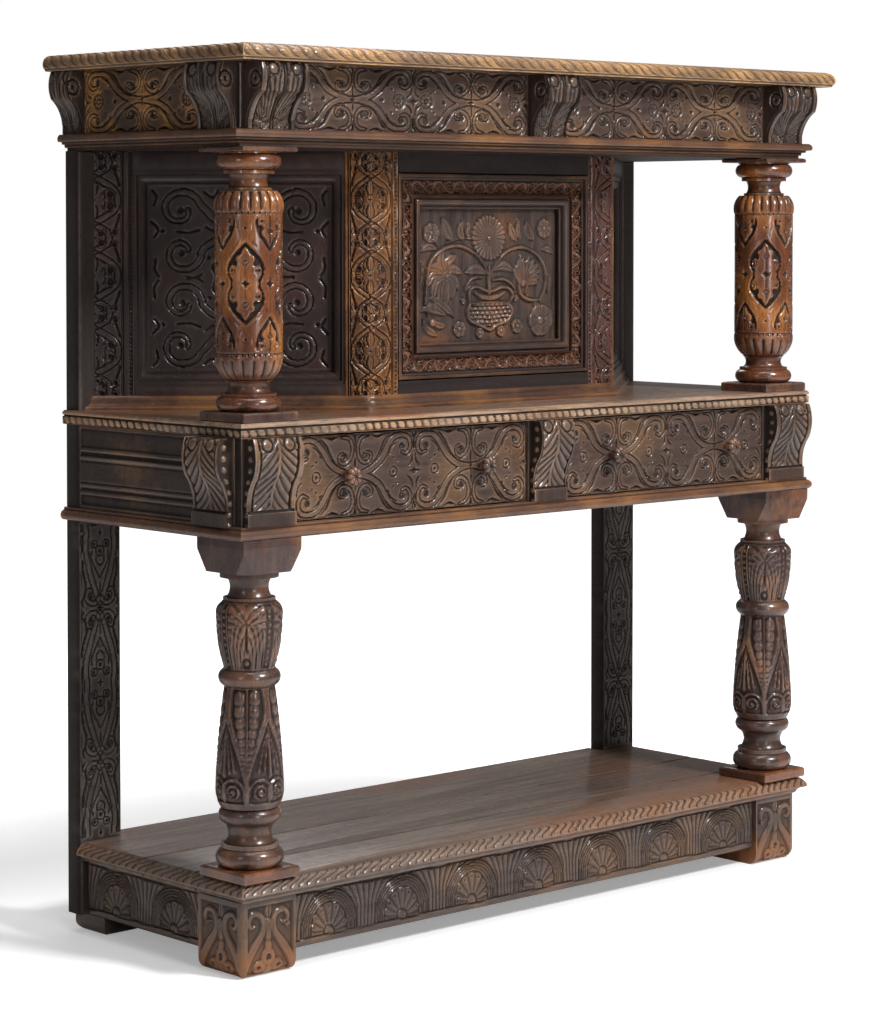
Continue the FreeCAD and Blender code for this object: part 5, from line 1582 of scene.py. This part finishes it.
def makeBaseMoulding():
    out = 10.0
    low, high = boxOf("cupboard_base_moulding")
    start, end, run = cantLine()
    slope = out / run[1]
    mitre = out * (1 - run[0]) / run[1]
    front = start[1] - out
    corners = [(-(end[0] + slope), end[1]), (-(start[0] + mitre), front), (start[0] + mitre, front),
               (end[0] + slope, end[1]), (end[0] - 4, end[1]), (start[0] - 1.5, start[1] + 3),
               (1.5 - start[0], start[1] + 3), (4 - end[0], end[1])]
    profile = outline([(0, 0), (0, 4, 0), (-1, 5, -0.35), (-7, 15), (-7.5, 17.5, 0), (-9.4, 20)], 8)
    piece = sweptPiece("cupboard_base_moulded", corners, profile + (0, low[2]), threeSides, None, 5.0,
                       rowStep=1.4)
    finishPiece(piece, mouldedAcross, "cupboard_base_moulding")


def vaseTile(half, tall):  # the door panel: a basket of flowers, u from its left edge
    tile = newTile(2 * half, tall, -4.6)

    def line(points, between=6):
        return curve([(half + u, v) for u, v in points], between)

    def daisy(centre, radius, petals, eye, top=0.0):
        part, share = oval(tile, (half + centre[0], centre[1]), (radius, radius))
        turn = np.arctan2(tile["v"][part] - centre[1], tile["u"][part] - half - centre[0])
        lobe = np.abs(np.cos(turn * petals / 2)) ** 0.45
        reach = share / (0.88 + 0.12 * lobe)
        rise = (0.72 + 0.2 * share - 0.42 * (1 - lobe)) * np.clip((1 - reach) / 0.08, 0, 1) ** 0.5
        rise = np.where(share < eye, 1.0 * np.sqrt(np.clip(1 - (share / eye) ** 2, 0, 1)) + 0.1, rise)
        height = tile["ground"] + (top - tile["ground"]) * rise
        raiseTo(tile, part, reach < 1, height)

    for points, size in (
            ([(0, 98), (-10, 113), (-28, 129), (-52, 138), (-76, 139), (-100, 131), (-116, 115), (-123, 95),
              (-125, 74), (-126, 56), (-120, 40)], (4, 5, 5.5, 6, 6, 6, 6, 5.5, 5, 5, 4)),
            ([(6, 98), (16, 113), (32, 127), (54, 135), (78, 136), (100, 128), (115, 112), (122, 94),
              (120, 76), (108, 57)], (4, 5, 5.5, 6, 6, 6, 6, 5.5, 5, 4)),
            ([(3, 70), (3, 88), (3, 108)], (8, 7, 6)),
            ([(-100, 138), (-106, 146), (-112, 150)], (4, 4, 4)),
            ([(-84, 144), (-54, 150), (-34, 150)], (2.5, 2.5, 2.5)),
            ([(64, 80), (68, 66), (84, 59), (108, 58)], (5.5, 6, 6, 4)),
            ([(81, 78), (80, 70), (82, 62)], (4, 4, 4)),
            ([(-46, 74), (-40, 85), (-28, 92), (-10, 92)], (5, 6, 6, 4)),
            ([(54, 76), (44, 86), (30, 90), (12, 88)], (5, 6, 6, 4)),
            ([(-36, 58), (-38, 68), (-32, 77), (-20, 79), (-4, 73), (12, 72), (28, 78), (42, 77), (50, 68),
              (47, 58)], (5, 6, 6, 6, 5.5, 5.5, 6, 6, 6, 5)),
            ([(-27, 72), (-14, 65), (4, 62), (22, 65), (34, 71)], (5, 8, 9, 8, 5)),
            ([(-36, 55), (4, 55.5), (46, 55)], (4, 4, 4))):
        band(tile, line(points), size, -0.2, 1.3, 0.25)
    daisy((2, 152), 35, 26, 0.13)
    bud = np.array((-86.0, 96.0))
    for turn, long, bend, size in (
            (112, 40, -30, 18), (74, 36, -44, 17), (34, 34, -50, 16), (146, 36, 34, 17), (180, 40, 44, 18),
            (214, 42, 40, 17), (246, 42, 26, 17), (278, 40, -14, 17), (312, 36, -40, 17), (348, 32, -48, 15)):
        way, swing = math.radians(turn), math.radians(turn + bend)
        middle = bud + 0.55 * long * np.array((math.cos(way), math.sin(way)))
        tip = middle + 0.6 * long * np.array((math.cos(swing), math.sin(swing)))
        top = -0.3 - 0.35 * (long % 8 > 3)
        leaf(tile, line([tuple(bud), tuple(middle), tuple(tip)]), size, top, vein=1.4)
    boss(tile, (half + bud[0], bud[1]), (7.5, 9), 0.0)
    ring(tile, (half + bud[0] + 1, bud[1] - 1), 3.6, 1.5, 2.6)
    for number in range(9):
        turn = math.radians(118 - number * 15)
        root = np.array((74.0, 82.0))
        tip = root + (44 - 0.7 * (number - 4) ** 2) * np.array((math.cos(turn), math.sin(turn)))
        bend = root + 22 * np.array((math.cos(turn + 0.16), math.sin(turn + 0.16)))
        leaf(tile, line([tuple(root), tuple(bend), tuple(tip)]), 14, -0.1, vein=1.4)
    leaf(tile, line([(66, 80), (64, 100), (69, 126)]), 13, 0.0, vein=1.4)
    boss(tile, (half + 74, 84), (8, 7), 0.0)
    for points, size, lobes in (
            ([(-2, 98), (-22, 104), (-46, 102)], 18, 0), ([(12, 104), (34, 110), (56, 102)], 18, 2),
            ([(-92, 181), (-83, 165), (-71, 147)], 20, 0), ([(-50, 178), (-56, 162), (-50, 146)], 16, 0),
            ([(-36, 172), (-40, 160), (-38, 150)], 10, 0), ([(44, 174), (50, 160), (60, 146)], 16, 0),
            ([(64, 178), (62, 162), (68, 148)], 12, 0), ([(80, 176), (86, 162), (96, 148)], 22, 0),
            ([(-136, 133), (-118, 139), (-102, 136)], 13, 0), ([(112, 134), (124, 134), (137, 128)], 13, 0),
            ([(-118, 64), (-94, 56), (-66, 34)], 16, 3), ([(-136, 46), (-112, 50), (-84, 38)], 18, 2),
            ([(98, 56), (104, 47), (110, 40)], 15, 2), ([(126, 66), (130, 80), (131, 96)], 8, 0),
            ([(-134, 82), (-133, 100), (-131, 118)], 7, 0), ([(-130, 34), (-122, 20), (-100, 8)], 15, 0),
            ([(-112, 32), (-98, 24), (-82, 22)], 13, 0), ([(124, 46), (130, 40), (136, 34)], 9, 0)):
        leaf(tile, line(points), size, -0.3, lobes, 1.6)
    boss(tile, (half - 110, 29), (7, 7), 0.0)
    for centre, radius, petals, eye in (
            ((110, 27), 25, 6, 0.3), ((-57, 17), 12.5, 7, 0.34), ((62, 19), 11.5, 6, 0.34),
            ((-17, 11), 8.5, 5, 0.4), ((27, 12), 8.5, 5, 0.4), ((-114, 160), 16, 7, 0.3),
            ((118, 166), 15, 8, 0.3), ((-50, 58), 5, 4, 0.4), ((57, 61), 5.5, 4, 0.4)):
        daisy(centre, radius, petals, eye, -0.2)
    rim = line([(-37, 53), (-42, 42), (-35, 28), (-14, 22), (5, 16), (18, 22), (40, 26), (50, 38), (48, 48),
                (40, 53)])
    u, v = tile["u"] - half - 4, tile["v"]
    inside = ((u / 44) ** 4 + ((v - 38) / 16.5) ** 4) < 1
    row = np.floor(v / 6.4)
    scale = np.hypot((u + 4.8 * (row % 2)) % 9.6 - 4.8, (v % 6.4) - 1.0) / 5.2
    tile["cut"] = np.where(inside, -3.8 + 3.2 * np.clip(1 - scale ** 2, 0, 1) ** 0.7, tile["cut"])
    band(tile, rim, 6.5, 0.0, 1.4, 0.2)
    return tile


def makeDoor():
    door = {"band": 32.0, "panelSet": 16.0, "panelMargin": 20.0, "wave": 46.0, "ribbon": 27.5, "step": 1.25}
    low, high = boxOf("door_frame")
    place = face(low, high, "front")
    thick = place["thick"]
    place["origin"] = (low[0], high[1], low[2])
    section = outline([(0, 0), (0, thick - 0.6), (-0.8, thick), (-4.4, thick), (-5, thick - 4.5),
                       (-9.6, thick - 5.5), (-10.2, thick - 3, -0.75), (-31, thick - 3), (-31.6, thick - 6),
                       (-door["band"], 0)], 14)

    def guilloche(u, s, run):  # a running wave of ribbon with an eye in every bend
        across = s - thick - door["ribbon"]
        inside = np.abs(across) < 12.5
        turn = 2 * math.pi * u / door["wave"]
        ribbon = np.abs(across - 8.0 * np.sin(turn)) / np.sqrt(1 + 0.8 * np.cos(turn) ** 2)
        cut = np.where(np.abs(ribbon - 3.4) < 0.95, -1.7, 0)
        for shift, way in ((0.25, -1), (0.75, 1)):
            along = (u - shift * door["wave"] + door["wave"] / 2) % door["wave"] - door["wave"] / 2
            away = np.hypot(along, across - way * 4.4)
            cut = np.where(np.abs(away - 5.4) < 0.9, np.minimum(cut, -1.6), cut)
            cut = np.where(away < 2.4, -2.2, cut)
            petal = np.hypot((np.abs(along) - 9.4) / 3.4, (across - way * 8.6) / 2.2)
            cut = np.where((petal < 1) & (ribbon > 4.2), np.minimum(cut, -2.0), cut)
        return np.where(inside, cut, 0)

    piece = ringPiece("door_frame_carved", place, section, guilloche, 1.8, 1.6)
    inset = {"centre": ((low[0] + high[0]) / 2, (low[2] + high[2]) / 2), "from": 10.0, "to": 31.5}

    def onBand(place):
        across = np.abs(place[:, 0] - inset["centre"][0]) - (high[0] - low[0]) / 2
        up = np.abs(place[:, 2] - inset["centre"][1]) - (high[2] - low[2]) / 2
        off = -np.maximum(across, up)
        return np.minimum(off - inset["from"], inset["to"] - off) / 2 * (place[:, 1] < high[1] - 5)

    scuffWhere(piece, onBand)
    finishPiece(piece, doorBandOak, "door_frame")
    opening = dict(place)
    opening["origin"] = (low[0] + door["band"], high[1] - (thick - door["panelSet"]), low[2] + door["band"])
    opening["width"] -= 2 * door["band"]
    opening["height"] -= 2 * door["band"]
    deep = door["panelSet"] - 3.0
    section = outline([(0, 0), (0, deep - 5), (-4.5, deep - 5.4), (-5, deep - 1.2), (-6, deep, 0.5),
                       (-14, deep - 6), (-15, deep - 8.4), (-18, deep - 9), (-18, 0)], 8)
    piece = ringPiece("door_moulding_shaped", opening, section, None, 3.0)
    finishPiece(piece, doorBandOak, "door_moulding")
    low, high = boxOf("door_panel")
    place = face(low, high, "front")
    half, margin = place["width"] / 2, door["panelMargin"]
    tile = vaseTile(half - margin, place["height"] - 2 * margin)

    def relief(u, v):
        u, v = handWobble(u, v, 0.9, 47)
        drawn = heightAt(tile, u - margin, v - margin)
        inside = (np.abs(u - half) < half - margin) & (v > margin) & (v < place["height"] - margin)
        uneven = 0.35 * np.sin(u / 9.0) * np.sin(v / 7.0) * (drawn < -3.5)
        return np.where(inside, drawn, tile["ground"]) + uneven

    piece = carvedBoard("door_panel_carved", place, relief, door["step"])
    finishPiece(piece, doorOak, "door_panel")


def makeTierSides():
    ridge = {"levels": (22.0, 33.0, 72.0, 83.0), "half": 3.4, "high": 3.0, "ground": -3.2, "field": -2.2,
             "fieldLevel": 52.5, "fieldHalf": 14.5, "tall": 118, "margin": 6, "edge": -0.6, "step": 2.0}
    for side, way in sides:
        low, high = boxOf("tier_side_panels", way)
        place = face(low, high, side)

        def relief(u, v):
            cut = np.full(u.shape, ridge["ground"])
            for level in ridge["levels"]:
                crown = np.clip(1 - (np.abs(v - level) / ridge["half"]) ** 2, 0, 1) ** 0.6
                cut = np.maximum(cut, ridge["ground"] + ridge["high"] * crown)
            cut = np.where(np.abs(v - ridge["fieldLevel"]) < ridge["fieldHalf"], ridge["field"], cut)
            return np.where(np.minimum(v, ridge["tall"] - v) < ridge["margin"], ridge["edge"], cut)

        piece = carvedBoard(f"{side}_tier_side_moulded", place, relief, ridge["step"])
        finishPiece(piece, plainSideOak, "tier_side_panels")


makeDrawerFronts()
report("drawers")
makeFrieze()
report("frieze")
makeBrackets()
report("brackets")
makeTopBoard()
makeCornice()
makeNosing()
makeShelf()
makePotBoard()
report("moulded boards")
makePlinthRails()
makeFeet()
makePosts()
report("plinth and posts")
makeUpperColumns()
makeLowerColumns()
report("columns")
makeStiles()
makeCants()
makeBaseMoulding()
report("cupboard sides")
makeDoor()
makeTierSides()
report("door and tier sides")


# floor, lights and camera
def makeStage():
    stage = {"half": 5.0, "white": (0.75, 1.5), "glow": 0.3, "ambient": 0.08, "mirrored": 0.14}
    bpy.ops.object.select_all(action="DESELECT")
    bpy.ops.mesh.primitive_plane_add(size=2 * stage["half"], location=(0, 0, 0))
    floor = bpy.context.object
    floor.name = "studio_floor"
    material = bpy.data.materials.new("studio_floor")
    material.use_nodes = True
    tree = material.node_tree
    shader = tree.nodes["Principled BSDF"]
    shader.inputs["Roughness"].default_value = 0.9
    shader.inputs["Specular IOR Level"].default_value = 0.1
    coordinates = addNode(tree, "ShaderNodeTexCoord", (-900, 0)).outputs["Object"]
    cloud = noiseNode(tree, coordinates, 0.8, 2.0, 0.5)
    colour = mixColour(tree, cloud, tint(244, 244, 244), tint(240, 240, 240))
    tree.links.new(colour, shader.inputs["Base Color"])
    away = addNode(tree, "ShaderNodeVectorMath", (-700, -200), operation="LENGTH")
    tree.links.new(coordinates, away.inputs[0])
    fade = rampNode(tree, away.outputs["Value"], *stage["white"], stage["glow"], 1.0)  # whiter further out
    rays = addNode(tree, "ShaderNodeLightPath")
    shader.inputs["Emission Color"].default_value = (1, 1, 1, 1)
    tree.links.new(mathNode(tree, "MULTIPLY", rays.outputs["Is Camera Ray"], fade),
                   shader.inputs["Emission Strength"])
    floor.data.materials.append(material)

    world = bpy.data.worlds.new("studio")
    bpy.context.scene.world = world
    world.use_nodes = True
    tree = world.node_tree
    background = tree.nodes["Background"]
    rays = addNode(tree, "ShaderNodeLightPath")
    shown = mathNode(tree, "MAXIMUM", rays.outputs["Is Camera Ray"], rays.outputs["Is Transmission Ray"])
    mirrored = mathNode(tree, "MULTIPLY", rays.outputs["Is Glossy Ray"], stage["mirrored"])
    background.inputs["Color"].default_value = (1, 1, 1, 1)
    tree.links.new(mathNode(tree, "MAXIMUM", mathNode(tree, "MAXIMUM", shown, mirrored), stage["ambient"]),
                   background.inputs["Strength"])


def makeLight(name, place, aim, size, power):
    bpy.ops.object.select_all(action="DESELECT")
    bpy.ops.object.light_add(type="AREA", location=place)
    lamp = bpy.context.object
    lamp.name = name
    lamp.data.shape = "RECTANGLE"
    lamp.data.size, lamp.data.size_y = size
    lamp.data.energy = power
    way = np.array(aim, float) - np.array(place, float)
    lamp.rotation_euler = (math.atan2(math.hypot(way[0], way[1]), -way[2]), 0, math.atan2(-way[0], way[1]))
    return lamp


def makeCamera():
    view = {"place": (-2.996, -3.1921, 1.0140), "turn": (88.2, 0, -42.673), "lens": 102.5,
            "shift": (0.0013, -0.1935)}
    bpy.ops.object.camera_add(location=view["place"],
                              rotation=[math.radians(angle) for angle in view["turn"]])
    camera = bpy.context.object
    camera.data.lens = view["lens"]
    camera.data.sensor_width = 36
    camera.data.shift_x, camera.data.shift_y = view["shift"]
    camera.data.clip_start = 0.1
    bpy.context.scene.camera = camera


makeStage()
middle = (0, 0, 0.65)
makeLight("key_softbox", (0.5, -3.0, 3.1), middle, (0.6, 0.8), 155)
makeLight("front_softbox", (-1.2, -4.2, 1.3), middle, (0.5, 1.0), 26)
makeLight("side_strip", (-3.6, -1.1, 1.7), middle, (0.35, 1.5), 11)
makeLight("top_softbox", (0, -0.3, 3.3), middle, (2.4, 1.4), 75)
makeLight("rear_softbox", (1.6, 2.6, 2.6), middle, (1.4, 1.0), 14)
makeCamera()
bpy.context.scene.view_settings.view_transform = "Standard"
paintPlainParts()
report("scene")
